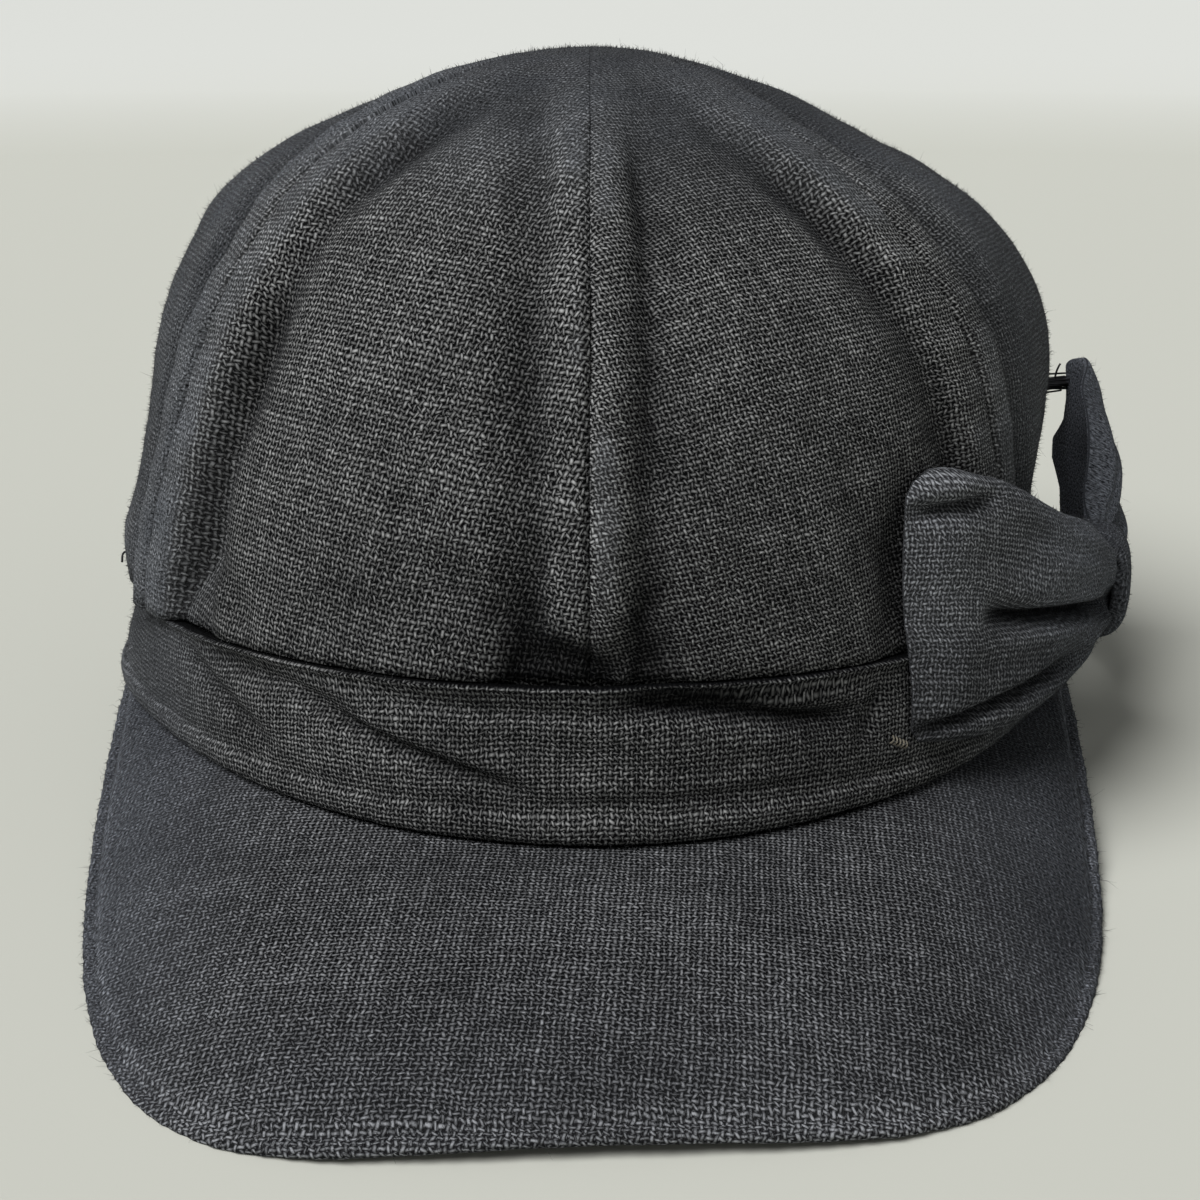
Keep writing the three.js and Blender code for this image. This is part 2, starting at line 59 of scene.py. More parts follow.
# The view: from in front and a little above, 37 cm from the middle of the head opening, with a long lens.
EYE = np.array([0.0, -370.0, 80.0])
LOOKS_DOWN = math.radians(11.2) + TIP_BACK
LENS_MM = 59.4
LENS_ASIDE = 10 / 1200
camera_data = bpy.data.cameras.new("camera")
camera_data.sensor_width = 36
camera_data.lens = LENS_MM
camera_data.shift_x = LENS_ASIDE
camera_data.clip_start = 0.02
camera_data.clip_end = 50
camera = bpy.data.objects.new("camera", camera_data)
camera.location = lie(EYE)
camera.rotation_euler = (math.pi / 2 - LOOKS_DOWN, 0, 0)
bpy.context.scene.collection.objects.link(camera)
bpy.context.scene.camera = camera


# The table and the wall round it: one pale sheet, flat under the cap and curved up all round like a bowl.
# Its wall glows softly like a studio tent, more with its distance, so that it is pale from every side.
FLOOR_RINGS = [0.5, 1.2]
FLOOR_RADIUS = 2.2
COVE_RADIUS = 1.4
COVE_STEPS = 25
COVE_COLUMNS = 96
WALL_HEIGHT = 1.5
WALL_GLOW = 0.56
GLOW_FROM = 1.3
GLOW_FULL = 2.5
FLOOR_PAPER = (0.455, 0.46, 0.415)
WALL_PAPER = (0.10, 0.101, 0.097)
GLOW_COLOUR = (0.98, 1.0, 0.95)


def set_inputs(node, values):
    """Links or sets inputs of a node by name or number. A colour gets its fourth value here."""
    for key, value in values.items():
        socket = node.inputs[key]
        if isinstance(value, bpy.types.NodeSocket):
            socket.id_data.links.new(value, socket)
        else:
            socket.default_value = (*value, 1) if socket.type == "RGBA" else value


def add_node(tree, kind, *inputs, **settings):
    """Adds a node of a kind to a tree, with its settings, and links or sets its first inputs."""
    node = tree.nodes.new(kind)
    for key, value in settings.items():
        setattr(node, key, value)
    set_inputs(node, dict(enumerate(inputs)))
    return node


def blend(tree, share, low, high, kind="RGBA"):
    """A mix of two values: low where the share is 0, and high where it is 1."""
    node = add_node(tree, "ShaderNodeMix", data_type=kind)
    set_inputs(node, {"Factor": share, "A": low, "B": high})
    return node.outputs["Result"]


def new_material(name):
    """A new material, its node tree, and its shader."""
    material = bpy.data.materials.new(name)
    material.use_nodes = True
    return material, material.node_tree, material.node_tree.nodes["Principled BSDF"]


def new_object(name, points, faces, material):
    """Makes a smooth object from points in metres, faces and a material."""
    mesh = bpy.data.meshes.new(name)
    mesh.from_pydata(points.tolist(), [], faces)
    mesh.polygons.foreach_set("use_smooth", [True] * len(faces))
    mesh.materials.append(material)
    made = bpy.data.objects.new(name, mesh)
    bpy.context.scene.collection.objects.link(made)
    return made


def point_grid(rows, columns, closed_rows=0, closed_columns=0):
    """A grid of point numbers. Where it closes on itself, its first row or column comes again at its end."""
    grid = np.arange(rows * columns).reshape(rows, columns)
    return np.pad(grid, ((0, closed_rows), (0, closed_columns)), "wrap")


def grid_faces(grid):
    """The four-cornered faces between neighbours in a grid of point numbers."""
    return np.stack([grid[:-1, :-1], grid[1:, :-1], grid[1:, 1:], grid[:-1, 1:]], -1).reshape(-1, 4)


bend = np.linspace(0, math.pi / 2, COVE_STEPS)
cove_curve = FLOOR_RADIUS + COVE_RADIUS * np.sin(bend)
cove_r = np.concatenate([FLOOR_RINGS, cove_curve, cove_curve[-1:]])
cove_z = np.concatenate([[0.0, 0.0], COVE_RADIUS * (1 - np.cos(bend)), [WALL_HEIGHT]])
cove_turn = np.linspace(0, 2 * math.pi, COVE_COLUMNS, endpoint=False)[:, None]
cove = np.stack(np.broadcast_arrays(cove_r * np.cos(cove_turn), cove_r * np.sin(cove_turn), cove_z), -1)
cove_points = np.concatenate([cove.reshape(-1, 3), [[0, 0, 0]]])
cove_grid = point_grid(COVE_COLUMNS, cove_r.size, closed_rows=1)
inner_ring = cove_grid[:, 0]
middle_faces = np.stack([inner_ring[:-1], inner_ring[1:], np.full(COVE_COLUMNS, len(cove_points) - 1)], -1)
paper, tree, shader = new_material("backdrop_paper")
paper.cycles.emission_sampling = "NONE"
place = add_node(tree, "ShaderNodeTexCoord").outputs["Object"]
distance = add_node(tree, "ShaderNodeVectorMath", place, operation="LENGTH").outputs["Value"]
wall_share = add_node(tree, "ShaderNodeMapRange", distance, GLOW_FROM, GLOW_FULL).outputs["Result"]
glow = add_node(tree, "ShaderNodeMapRange", distance, GLOW_FROM, GLOW_FULL, 0.0, WALL_GLOW)
set_inputs(shader, {
    "Roughness": 0.9,
    "Base Color": blend(tree, wall_share, FLOOR_PAPER, WALL_PAPER),
    "Emission Color": GLOW_COLOUR,
    "Emission Strength": glow.outputs["Result"],
})
cove_faces = grid_faces(cove_grid.T).tolist() + middle_faces.tolist()
backdrop = new_object("backdrop", cove_points, cove_faces, paper)


# Soft studio light: an even pale surround, a wide light above on the viewer's left, and a very weak one on
# the right.
SURROUND_STRENGTH = 0.15
world = bpy.data.worlds.new("surround")
world.use_nodes = True
set_inputs(world.node_tree.nodes["Background"], {"Color": (1.0, 1.0, 1.0), "Strength": SURROUND_STRENGTH})
bpy.context.scene.world = world
bpy.context.scene.view_settings.view_transform = "Standard"


def soft_light(name, toward, wide, strength):
    """Adds a wide light that shines evenly from a direction, and spreads over an angle in degrees."""
    lamp = bpy.data.lights.new(name, "SUN")
    lamp.angle = math.radians(wide)
    lamp.energy = strength
    holder = bpy.data.objects.new(name, lamp)
    x, y, z = toward
    holder.location = toward
    holder.rotation_euler = (math.atan2(math.hypot(x, y), z), 0, math.atan2(x, -y))
    bpy.context.scene.collection.objects.link(holder)


soft_light("light_left", (-0.85, -0.6, 1.4), 42, 4.2)
soft_light("light_right", (1.3, -0.6, 1.0), 60, 0.1)


# The crown: eight panels of loose black linen, each cut as a gore and sewn to its neighbours from the band
# to the tip. The seam allowances are pressed to both sides of each seam and show as a pair of soft ridges.

# The oval of the head opening, and the heights of the band and of the crown over it
HALF_WIDTH = 84.0
HALF_DEPTH = 104.0
BAND_HEIGHT = 17.0
BAND_TOP_DIP = 2.3
BAND_FOOT_DIP = 8.0
SEAM_GAP = 0.3
CROWN_HEIGHT = 91.0
CROWN_LEAN_BACK = 4.0
CROWN_CLOTH = 1.6
CROWN_TIP = 0.9995
CROWN_CLIMB = 120.0

# One row for each level section: its rise, and its reach right, left, front and back
crown_sections = np.array([
    [0.00, 83.8, 83.0, 103.0, 103.0],
    [0.15, 82.3, 81.5, 102.8, 104.5],
    [0.33, 79.6, 82.4, 100.4, 103.5],
    [0.49, 76.6, 81.8, 96.4, 99.5],
    [0.63, 71.4, 75.2, 90.6, 93.0],
    [0.74, 64.8, 64.8, 83.4, 84.5],
    [0.84, 50.6, 48.2, 73.0, 73.0],
    [0.91, 34.6, 34.4, 61.0, 59.0],
    [0.97, 16.5, 17.5, 41.0, 38.0],
])

# One row for each seam: angle at the band, angle at the tip, how late it bends, height and width of its
# ridges, depth and distance of the dip beside it
plain_seam = dict(bend=0.8, ridge=0.7, wide=7.5, dip=0.5, dip_at=10.5)
side_seam = dict(plain_seam, ridge=0.9, dip=0.7)
crown_seams = [
    dict(plain_seam, foot=-180, tip=-180),
    dict(plain_seam, foot=-138, tip=-141),
    dict(side_seam, foot=-96, tip=-90),
    dict(foot=-57, tip=-34, bend=1.6, ridge=1.7, wide=8.5, dip=3.9, dip_at=13.6),
    dict(foot=0, tip=0, bend=0.8, ridge=0.9, wide=5.4, dip=2.1, dip_at=8.0),
    dict(foot=54, tip=28, bend=1.3, ridge=1.2, wide=8.0, dip=2.6, dip_at=11.8),
    dict(side_seam, foot=96, tip=90),
    dict(plain_seam, foot=138, tip=141),
    dict(plain_seam, foot=180, tip=180),
]

# Along each seam: soft edge of its ridges, width and depth of its line, width of its dips, and its puckers
RIDGE_EDGE = 3.0
SEAM_LINE = 0.9
SEAM_SUNK = 0.55
DIP_WIDTH = 3.8
PUCKER = 0.28
PUCKER_LENGTH = 7.5
PUCKER_REACH = 7.0

# Puffs and dents: angle, height over the band, size across and up, how far out
crown_puffs = [
    (-2.6, -1, 8, 5, -4.2),
    (44, 9, 9, 9, -1.6),
    (80, 17, 15, 9, -4.4),
    (-78, 7, 16, 6, 1.6),
]

# Creases: angle and height over the band at both ends, depth and width
crown_creases = [
    (-3.7, 5.0, 1.6, 0.4, 3.0, 2.4),
    (-5.7, 71.0, -5.0, 56.0, 0.5, 1.2),
    (-7.0, 53.0, -6.2, 30.0, 0.6, 2.0),
    (6.2, 68.0, 6.0, 30.0, 0.9, 1.5),
    (-14.0, 17.0, -7.5, 7.0, 1.1, 2.0),
    (6.5, 13.0, 2.5, 3.0, 0.9, 1.8),
    (33.0, 2.0, 34.0, 26.0, 1.6, 3.6),
    (24.0, 30.0, 33.0, 13.0, 0.7, 3.0),
    (-24.0, 34.0, -12.0, 8.0, 0.6, 3.5),
    (-46.0, 16.0, -38.0, 4.0, 0.8, 2.4),
]

# One row for each panel, from the back right round the front: node, threads' pitch across and up, and
# how far the grain is turned
crown_panels = [
    ("crown_panel_back_right", 0.74, 0.80, 2),
    ("crown_panel_side_back_right", 0.74, 0.80, -2),
    ("crown_panel_side_front_right", 0.74, 0.82, 3),
    ("crown_panel_front_right", 0.76, 0.92, 8),
    ("crown_panel_front_left", 0.70, 0.76, -10),
    ("crown_panel_side_front_left", 0.74, 0.80, -3),
    ("crown_panel_side_back_left", 0.74, 0.80, 2),
    ("crown_panel_back_left", 0.74, 0.80, -2),
]


def between_rows(at, rows, values):
    """A smooth value between rows: a cubic through them, whose slope at each row is the slope between
    its two neighbours."""
    if rows[-1] < rows[0]:
        rows, values = rows[::-1], values[::-1]
    slope = np.gradient(values, rows)
    slope[1:-1] = (values[2:] - values[:-2]) / (rows[2:] - rows[:-2])
    i = np.clip(np.searchsorted(rows, at, side="right") - 1, 0, len(rows) - 2)
    step = rows[i + 1] - rows[i]
    t = np.clip((at - rows[i]) / step, 0, 1)
    rest = 1 - t
    value = values[i] * rest**2 * (1 + 2 * t) + values[i + 1] * t**2 * (3 - 2 * t)
    return value + (slope[i] * rest - slope[i + 1] * t) * step * t * rest


def frontness(angle):
    """The square of the cosine in front, and nothing behind."""
    return np.maximum(0, np.cos(angle)) ** 2


def band_top(angle):
    """The height of the band's upper edge, lower in front."""
    return BAND_HEIGHT - BAND_TOP_DIP * frontness(angle) ** 0.8


def band_foot(angle):
    """The height of the band's lower edge, lower in front."""
    return -BAND_FOOT_DIP * frontness(angle)


def hump(distance):
    """A bell: 1 at no distance, falling with the exponential of the distance squared."""
    return np.exp(-distance**2)


def ease(value, low, high):
    """0 below low, 1 above high, and a smooth step between."""
    t = np.clip((value - low) / (high - low), 0, 1)
    return t * t * (3 - 2 * t)


def ripple(u, v, length, seed):
    """Soft unevenness between -1 and 1: the sum of nine sine waves of about one length, whose directions,
    lengths and phases come from a seeded generator."""
    chance = np.random.default_rng(seed)
    total = 0
    for _ in range(9):
        turn, phase = chance.uniform(0, 2 * math.pi, 2)
        number = 2 * math.pi / (length * chance.uniform(0.7, 1.5))
        total = total + np.sin(number * (u * math.cos(turn) + v * math.sin(turn)) + phase)
    return total / 4.5


def on_oval(angle, out, height):
    """A point on the head opening's oval: its half width and half depth, both a distance larger, times
    the sine and cosine of the angle."""
    angle, out, height = np.broadcast_arrays(angle, out, height)
    return np.stack([(HALF_WIDTH + out) * np.sin(angle), -(HALF_DEPTH + out) * np.cos(angle), height], -1)


def crown_reach(angle, rise):
    """How far the crown reaches to the side and to the front or back. The reach of each section is held
    as a ratio to the root of 1 minus the rise squared, so that the dome closes round at its tip."""
    dome = np.sqrt(np.maximum(0, 1 - rise**2))
    rises = crown_sections[:, 0]
    ratios = crown_sections[:, 1:] / np.sqrt(1 - rises[:, None] ** 2)
    right, left, front, back = (dome * between_rows(rise, rises, ratio) for ratio in ratios.T)
    return np.where(np.sin(angle) < 0, right, left), np.where(np.cos(angle) > 0, front, back)


def smooth_crown(angle, turn):
    """The crown with no seams: its reach times the sine and cosine of the angle, and a height that goes
    with the sine of the turn, from 0 at the band to 1 at the tip."""
    angle, turn = np.broadcast_arrays(angle, turn)
    rise = np.sin(turn * math.pi / 2)
    across, along = crown_reach(angle, rise)
    foot = band_top(angle) + SEAM_GAP
    height = foot + (BAND_HEIGHT + CROWN_HEIGHT - foot) * rise
    y = -along * np.cos(angle) + CROWN_LEAN_BACK * rise**2
    return np.stack([across * np.sin(angle), y, height], -1)


def unit(vectors):
    """Vectors divided by their lengths."""
    return vectors / (np.linalg.norm(vectors, axis=-1, keepdims=True) + 1e-12)


def turned_out(normal, points, centre):
    """Directions at points, turned round where they point towards a centre."""
    return normal * np.sign(np.sum(normal * (points - centre), axis=-1, keepdims=True))


def outward(surface, a, b, centre):
    """The unit direction out of a surface of two values: the cross product of its two slopes, turned
    away from a centre."""
    step = 0.004
    along = surface(a + step, b) - surface(a - step, b)
    up = surface(a, b + step) - surface(a, b - step)
    return turned_out(unit(np.cross(along, up)), surface(a, b), centre)


def seam_angle(seam, turn):
    """A seam's angle: from its foot to its tip, with the rise to the power of its bend."""
    rise = np.sin(turn * math.pi / 2)
    return np.radians(seam["foot"] + (seam["tip"] - seam["foot"]) * rise ** seam["bend"])


def seam_depth(turn):
    """How deep the seams' lines are: 1 below, and shallow towards the tip."""
    return 1 - 0.85 * ease(turn, 0.45, 0.7)


def crown_relief(angle, turn, seams, seed):
    """How far the cloth stands out of the smooth crown: ridges, lines, dips and puckers along the seams,
    then puffs, creases, and a soft unevenness. What follows the seams fades towards the tip."""
    rise = np.sin(turn * math.pi / 2)
    across, along = crown_reach(angle, rise)
    speed = np.hypot(across * np.cos(angle), along * np.sin(angle))
    fade, dip_fade = ease(speed, 12, 70), ease(speed, 30, 88)
    u, up, climb = angle * HALF_WIDTH, CROWN_HEIGHT * rise, CROWN_CLIMB * turn
    relief = 0
    for k, seam in enumerate(seams):
        apart = np.abs(angle - seam_angle(seam, turn)) * speed
        swell = 1 + 0.3 * np.sin(climb / 12 + seed + k) + 0.15 * np.sin(climb / 5.3 + 2 * seed)
        ridge = 1 - ease(apart, seam["wide"] - RIDGE_EDGE, seam["wide"] + RIDGE_EDGE)
        dip_side = DIP_WIDTH * np.where(apart < seam["dip_at"], 0.75, 1.35)
        waves = np.sin(2 * math.pi * (climb + 2.5 * np.sin(climb / 9 + seed)) / PUCKER_LENGTH + 2 * k)
        relief = relief + fade * seam["ridge"] * (0.6 + 0.4 * swell) * ridge
        relief = relief - fade * SEAM_SUNK * seam_depth(turn) * hump(apart / SEAM_LINE)
        relief = relief - dip_fade * seam["dip"] * swell * hump((apart - seam["dip_at"]) / dip_side)
        relief = relief + fade * PUCKER * waves * np.exp(-apart / PUCKER_REACH) * ease(apart, 0, 3)
    relief = relief + all_puffs(u, up, crown_puffs, math.radians(HALF_WIDTH))
    relief = relief - all_folds(crease, u, up, crown_creases, math.radians(HALF_WIDTH))
    return relief + fade * (0.45 * ripple(u, climb, 34, seed) + 0.14 * ripple(u, climb, 9, seed + 50))


def from_line(u, v, u0, v0, u1, v1):
    """The distance to the right of a straight line, and a share that is 1 along most of the line and falls
    to 0 past its ends, as a half sine cut flat."""
    length = math.hypot(u1 - u0, v1 - v0)
    share = ((u - u0) * (u1 - u0) + (v - v0) * (v1 - v0)) / length**2
    across = ((u - u0) * (v1 - v0) - (v - v0) * (u1 - u0)) / length
    ends = np.where((share > -0.2) & (share < 1.2), np.sin(math.pi * np.clip((share + 0.2) / 1.4, 0, 1)), 0)
    return across, np.clip(1.3 * ends, 0, 1)


def crease(u, v, u0, v0, u1, v1, width):
    """A crease along a straight line: a bell across it, which fades past its ends."""
    across, share = from_line(u, v, u0, v0, u1, v1)
    return hump(across / width) * share


def pinch(u, v, u0, v0, u1, v1, width):
    """How far cloth is drawn down onto a crease from above it, and a little up from below it: the distance
    times a bell that is wider than the crease."""
    across, share = from_line(u, v, u0, v0, u1, v1)
    return across * hump(across / (2.2 * width)) * share * np.where(across < 0, 0.75, 0.3)


def all_folds(shape, u, v, rows, wide, tall=1.0):
    """The sum of each row's depth times a crease or a pinch. The places of its ends are given in parts of
    a width and a height in millimetres."""
    return sum(depth * shape(u, v, u0 * wide, v0 * tall, u1 * wide, v1 * tall, width)
               for u0, v0, u1, v1, depth, width in rows)


def all_puffs(u, v, rows, wide):
    """The sum of each row's height times a bell round its place."""
    return sum(out * hump(np.hypot((u - at * wide) / across, (v - high) / tall))
               for at, high, across, tall, out in rows)


def side_nap_and_sheen(to_side, start, full, most, less):
    """The nap and painted sheen at the sides: they rise to their most between two angles from the front, and
    behind the bow they are less by an amount."""
    return ease(to_side, start, full) * (most - less * ease(to_side, 1.2, 1.65))


def run_length(points, axis=0):
    """The length run along a line or a grid of points, from 0 at its first point."""
    steps = np.linalg.norm(np.diff(points, axis=axis), axis=-1)
    return np.insert(np.cumsum(steps, axis=axis), 0, 0, axis=axis)


def put_cloth(name, points, faces, material, threads=None, fold=None, nap_and_sheen=None, around=None):
    """Makes a piece from millimetre points, faces and a material, with each point's place in threads, how
    far it stands out of its fold, which sets its painted light and shade, and how thick its nap and painted
    sheen are. The faces are turned round if they enclose a negative volume. Where a strip closes on itself
    after a number of threads, its last face goes on counting instead of back."""
    points = lie(points).reshape(-1, 3)
    corners = points[faces]
    volume = np.sum(corners[:, 0] * np.cross(corners[:, 1], corners[:, 2]))
    if faces.shape[1] == 4:
        volume += np.sum(corners[:, 0] * np.cross(corners[:, 2], corners[:, 3]))
    if volume < 0:
        faces = faces[:, ::-1]
    piece = new_object(name, points, faces.tolist(), material)
    if threads is not None:
        corner_threads = threads.reshape(-1, 2)[faces]
        if around is not None:
            late = corner_threads[..., 0].max(axis=1, keepdims=True) - corner_threads[..., 0] > around / 2
            corner_threads[..., 0] += around * late
        piece.data.uv_layers.new(name="threads").data.foreach_set("uv", corner_threads.ravel())
        for key, values in (("fold", fold), ("nap_and_sheen", nap_and_sheen)):
            piece.data.attributes.new(key, "FLOAT", "POINT").data.foreach_set("value", values.ravel())
    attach(piece, "root")
    return piece


def wall_faces(rows, columns):
    """The faces of a closed wall whose outer grid of points comes first and its inner grid after it: both
    sides, and a strip along each of the four edges."""
    outer = point_grid(rows, columns)
    inner = outer + outer.size
    sides = [
        outer.T,
        inner,
        np.stack([outer[:, 0], inner[:, 0]], 1),
        np.stack([outer[:, -1], inner[:, -1]]),
        np.stack([outer[0], inner[0]]),
        np.stack([outer[-1], inner[-1]], 1),
    ]
    return np.concatenate([grid_faces(side) for side in sides])


def maths(operation, *values):
    """The result of one Math node, in the node tree of its inputs."""
    tree = next(value.id_data for value in values if isinstance(value, bpy.types.NodeSocket))
    return add_node(tree, "ShaderNodeMath", *values, operation=operation).outputs[0]


def times(result, *others):
    """The product of values, at least one of them a node's output."""
    for other in others:
        result = maths("MULTIPLY", result, other)
    return result


def plus(result, *others):
    """The sum of values, at least one of them a node's output."""
    for other in others:
        result = maths("ADD", result, other)
    return result


def noise(tree, place, scale, detail, roughness=0.5, dimensions="2D"):
    """A noise texture at a place."""
    node = add_node(tree, "ShaderNodeTexNoise", place, noise_dimensions=dimensions)
    set_inputs(node, {"Scale": scale, "Detail": detail, "Roughness": roughness})
    return node


# How much each thread leans between its crossings, and how light the painted highlights on its ridge and its
# round top are
THREAD_LEAN = 0.9
RIDGE_POWER = 5.0
PAINTED_RIDGE_HIGHLIGHT = 0.73
PAINTED_ROUND_TOP_LIGHT = 0.22


def build_plain_weave():
    """A node group for a loose plain weave. In thread counts, a warp thread lies at each whole x and a weft
    thread at each whole y. Each thread's height is a half round across it plus a cosine along it, and the
    two kinds of thread are half a wave apart, so each goes over and under in turn. The higher one shows.
    Threads wander, swell and lean by noise and by chance at each crossing. It puts out the height, and how
    light each thread is painted: a painted highlight along its middle and on top of its wave, painted shade
    where it dips under the other, and nothing in the gaps."""
    tree = bpy.data.node_groups.new("plain_weave", "ShaderNodeTree")
    for name, kind in (("Threads", "NodeSocketVector"), ("Wander", "NodeSocketFloat"),
                       ("Cover", "NodeSocketFloat"), ("Slub", "NodeSocketFloat")):
        tree.interface.new_socket(name, in_out="INPUT", socket_type=kind)
    for name in ("Height", "Light"):
        tree.interface.new_socket(name, in_out="OUTPUT", socket_type="NodeSocketFloat")
    threads, wander, cover, slub = tree.nodes.new("NodeGroupInput").outputs[:4]

    def shaken(place, scale, amount):
        """A place moved by noise of a scale, by an amount in threads times the wander."""
        colour = noise(tree, place, scale, 1.0).outputs["Color"]
        centred = add_node(tree, "ShaderNodeVectorMath", colour, (0.5, 0.5, 0.5), operation="SUBTRACT")
        shake = add_node(tree, "ShaderNodeVectorMath", centred.outputs[0], operation="SCALE")
        set_inputs(shake, {"Scale": times(wander, amount)})
        return add_node(tree, "ShaderNodeVectorMath", place, shake.outputs[0], operation="ADD").outputs[0]

    def thread(across, along, sign, seed):
        """One set of threads: its height, and how light it is painted, with a painted highlight on its ridge
        and top.
        """
        number = maths("FLOOR", plus(across, 0.5))
        crossing = maths("FLOOR", plus(along, 0.5))
        cell = add_node(tree, "ShaderNodeCombineXYZ", plus(number, seed), crossing, 0.0).outputs[0]
        chance = add_node(tree, "ShaderNodeTexWhiteNoise", cell, noise_dimensions="2D").outputs["Color"]
        lots = add_node(tree, "ShaderNodeSeparateColor", chance).outputs
        key = add_node(tree, "ShaderNodeCombineXYZ", times(number, 7.31), times(along, 0.06), seed)
        swell = noise(tree, key.outputs[0], 1.0, 1.0, dimensions="3D").outputs["Fac"]
        lean = times(plus(lots[1], -0.35), THREAD_LEAN, maths("SUBTRACT", along, crossing))
        offset = plus(maths("SUBTRACT", across, number), lean)
        change = plus(times(plus(swell, -0.5), slub), times(lots[2], 0.3))
        ratio = maths("DIVIDE", offset, times(cover, plus(change, 0.85)))
        squared = maths("SUBTRACT", 1.0, times(ratio, ratio))
        round_top = maths("SQRT", maths("MAXIMUM", 0.0, squared))
        inside = maths("GREATER_THAN", squared, 0.0)
        wave = times(maths("COSINE", times(plus(along, number), math.pi)), float(sign))
        height = times(plus(times(round_top, 0.45), times(wave, 0.3), 0.25), inside)
        # Painted shade where the thread dips under the other, and painted highlights along its ridge and on
        # its round top
        over = maths("MAXIMUM", 0.0, plus(times(wave, 0.5), 0.5))
        ridge = times(maths("POWER", round_top, RIDGE_POWER), PAINTED_RIDGE_HIGHLIGHT)
        light = times(plus(ridge, times(round_top, PAINTED_ROUND_TOP_LIGHT)), over)
        return height, times(light, plus(times(lots[0], 0.6), 0.5), plus(swell, 0.4))

    # A wide slow wander, and a small quick one
    place = shaken(shaken(threads, 0.07, 5.0), 0.5, 1.3)
    x, y = add_node(tree, "ShaderNodeSeparateXYZ", place).outputs[:2]
    warp_height, warp_light = thread(x, y, 1, 3.7)
    weft_height, weft_light = thread(y, x, -1, 91.3)
    warp_shows = maths("GREATER_THAN", warp_height, weft_height)
    set_inputs(tree.nodes.new("NodeGroupOutput"), {
        "Height": maths("MAXIMUM", maths("MAXIMUM", warp_height, weft_height), 0.0),
        "Light": blend(tree, warp_shows, weft_light, warp_light, "FLOAT"),
    })
    return tree


plain_weave = build_plain_weave()

# How light the nap and painted sheen are, as a share of a thread's top, and the near black painted as shade
# in the weave's gaps
NAP_AND_SHEEN_LEVEL = 0.185
PAINTED_GAP_SHADE = (0.002, 0.002, 0.0022)

# How dark the painted shade of the deepest fold is and how light the painted light on the highest, and how
# tall the weave stands in metres
FOLD_DARKEST = 0.15
FOLD_LIGHTEST = 1.35
WEAVE_HEIGHT = 0.0005


def linen(name, light, wander=0.24, cover=0.31, slub=0.8, wear_and_shade=0.22):
    """Faded black linen: the plain weave in the piece's own thread places. Its colour goes from near black,
    painted shade in the gaps, to a grey painted highlight on top of each thread. It is painted lighter where
    a fold stands out and darker where it sinks, as painted light and shade, with wear along the peak's edge,
    and it is lighter in worn patches. Where the piece's nap and painted sheen are thick, its fluff hides the
    gaps and a painted sheen turns the thread tops duller and bluer."""
    material, tree, shader = new_material(name)
    place = add_node(tree, "ShaderNodeUVMap", uv_map="threads").outputs["UV"]
    weave = add_node(tree, "ShaderNodeGroup", node_tree=plain_weave)
    set_inputs(weave, {"Threads": place, "Wander": wander, "Cover": cover, "Slub": slub})
    fluff = noise(tree, place, 1.7, 3.0, roughness=0.7).outputs["Fac"]
    patches = noise(tree, place, 0.035, 3.0).outputs["Fac"]
    fold, nap_and_sheen = (add_node(tree, "ShaderNodeAttribute", attribute_name=key).outputs["Fac"]
                 for key in ("fold", "nap_and_sheen"))
    bare = maths("SUBTRACT", 1.0, nap_and_sheen)
    # The fold paints shade where the cloth sinks and light where it stands out, and carries the wear along
    # the peak's edge
    fold_share = maths("MAXIMUM", plus(times(fold, wear_and_shade), 1.0), FOLD_DARKEST)
    fold_share = maths("MINIMUM", fold_share, FOLD_LIGHTEST)
    patch_share = plus(times(patches, 0.7), 0.65)
    fluff_share = times(plus(fluff, -0.5), plus(times(nap_and_sheen, 5.0), 1.4))
    fluff_share = maths("MAXIMUM", plus(fluff_share, 1.0), 0.1)
    level = plus(times(weave.outputs["Light"], bare), times(nap_and_sheen, NAP_AND_SHEEN_LEVEL))
    # Painted sheen: where the nap is thick, the thread tops turn duller and bluer
    tops = blend(tree, nap_and_sheen, light, (light[0] * 0.94, light[1], light[2] * 1.12))
    bump = add_node(tree, "ShaderNodeBump")
    height = plus(times(weave.outputs["Height"], bare), times(fluff, nap_and_sheen))
    set_inputs(bump, {"Strength": 1.0, "Distance": WEAVE_HEIGHT, "Height": height})
    set_inputs(shader, {
        "Roughness": 0.9,
        "Specular IOR Level": 0.015,
        "Sheen Weight": 0.01,
        "Sheen Roughness": 0.5,
        "Sheen Tint": (0.7, 0.8, 1.0),
        "Base Color": blend(tree, times(level, fluff_share, fold_share, patch_share), PAINTED_GAP_SHADE, tops),
        "Normal": bump.outputs["Normal"],
    })
    return material


crown_linen = linen("crown_linen", light=(0.30, 0.302, 0.302))

# Rows and columns of a panel's grid, in front and elsewhere
FINE_PANEL = (141, 111)
PLAIN_PANEL = (71, 63)

# The seam allowance that turns down inside the band: how far in, how long, and how thick
ALLOWANCE_IN = 3.6
ALLOWANCE_LONG = 2.6
ALLOWANCE_CLOTH = 0.6

# The tuck that draws the crown's foot in at the front: how deep, and its angle and half width in degrees
FOOT_TUCK = 2.2
FOOT_TUCK_AT = -3.0
FOOT_TUCK_WIDE = 11.0

# How far a panel's edge rolls in at its seam, and how far apart two panels stay there
SEAM_ROLL = 0.3
SEAM_APART = 0.04

# Painted shade, in the fold's terms: at the tip, near the foot and in the tuck, and the darkest in front and
# beside; and the most nap and painted sheen
TIP_SHADE = 0.95
FOOT_SHADE = 0.8
TUCK_SHADE = 2.0
DARKEST_FRONT = -4.5
DARKEST_SIDE = -1.3
MOST_NAP_AND_SHEEN = 0.72

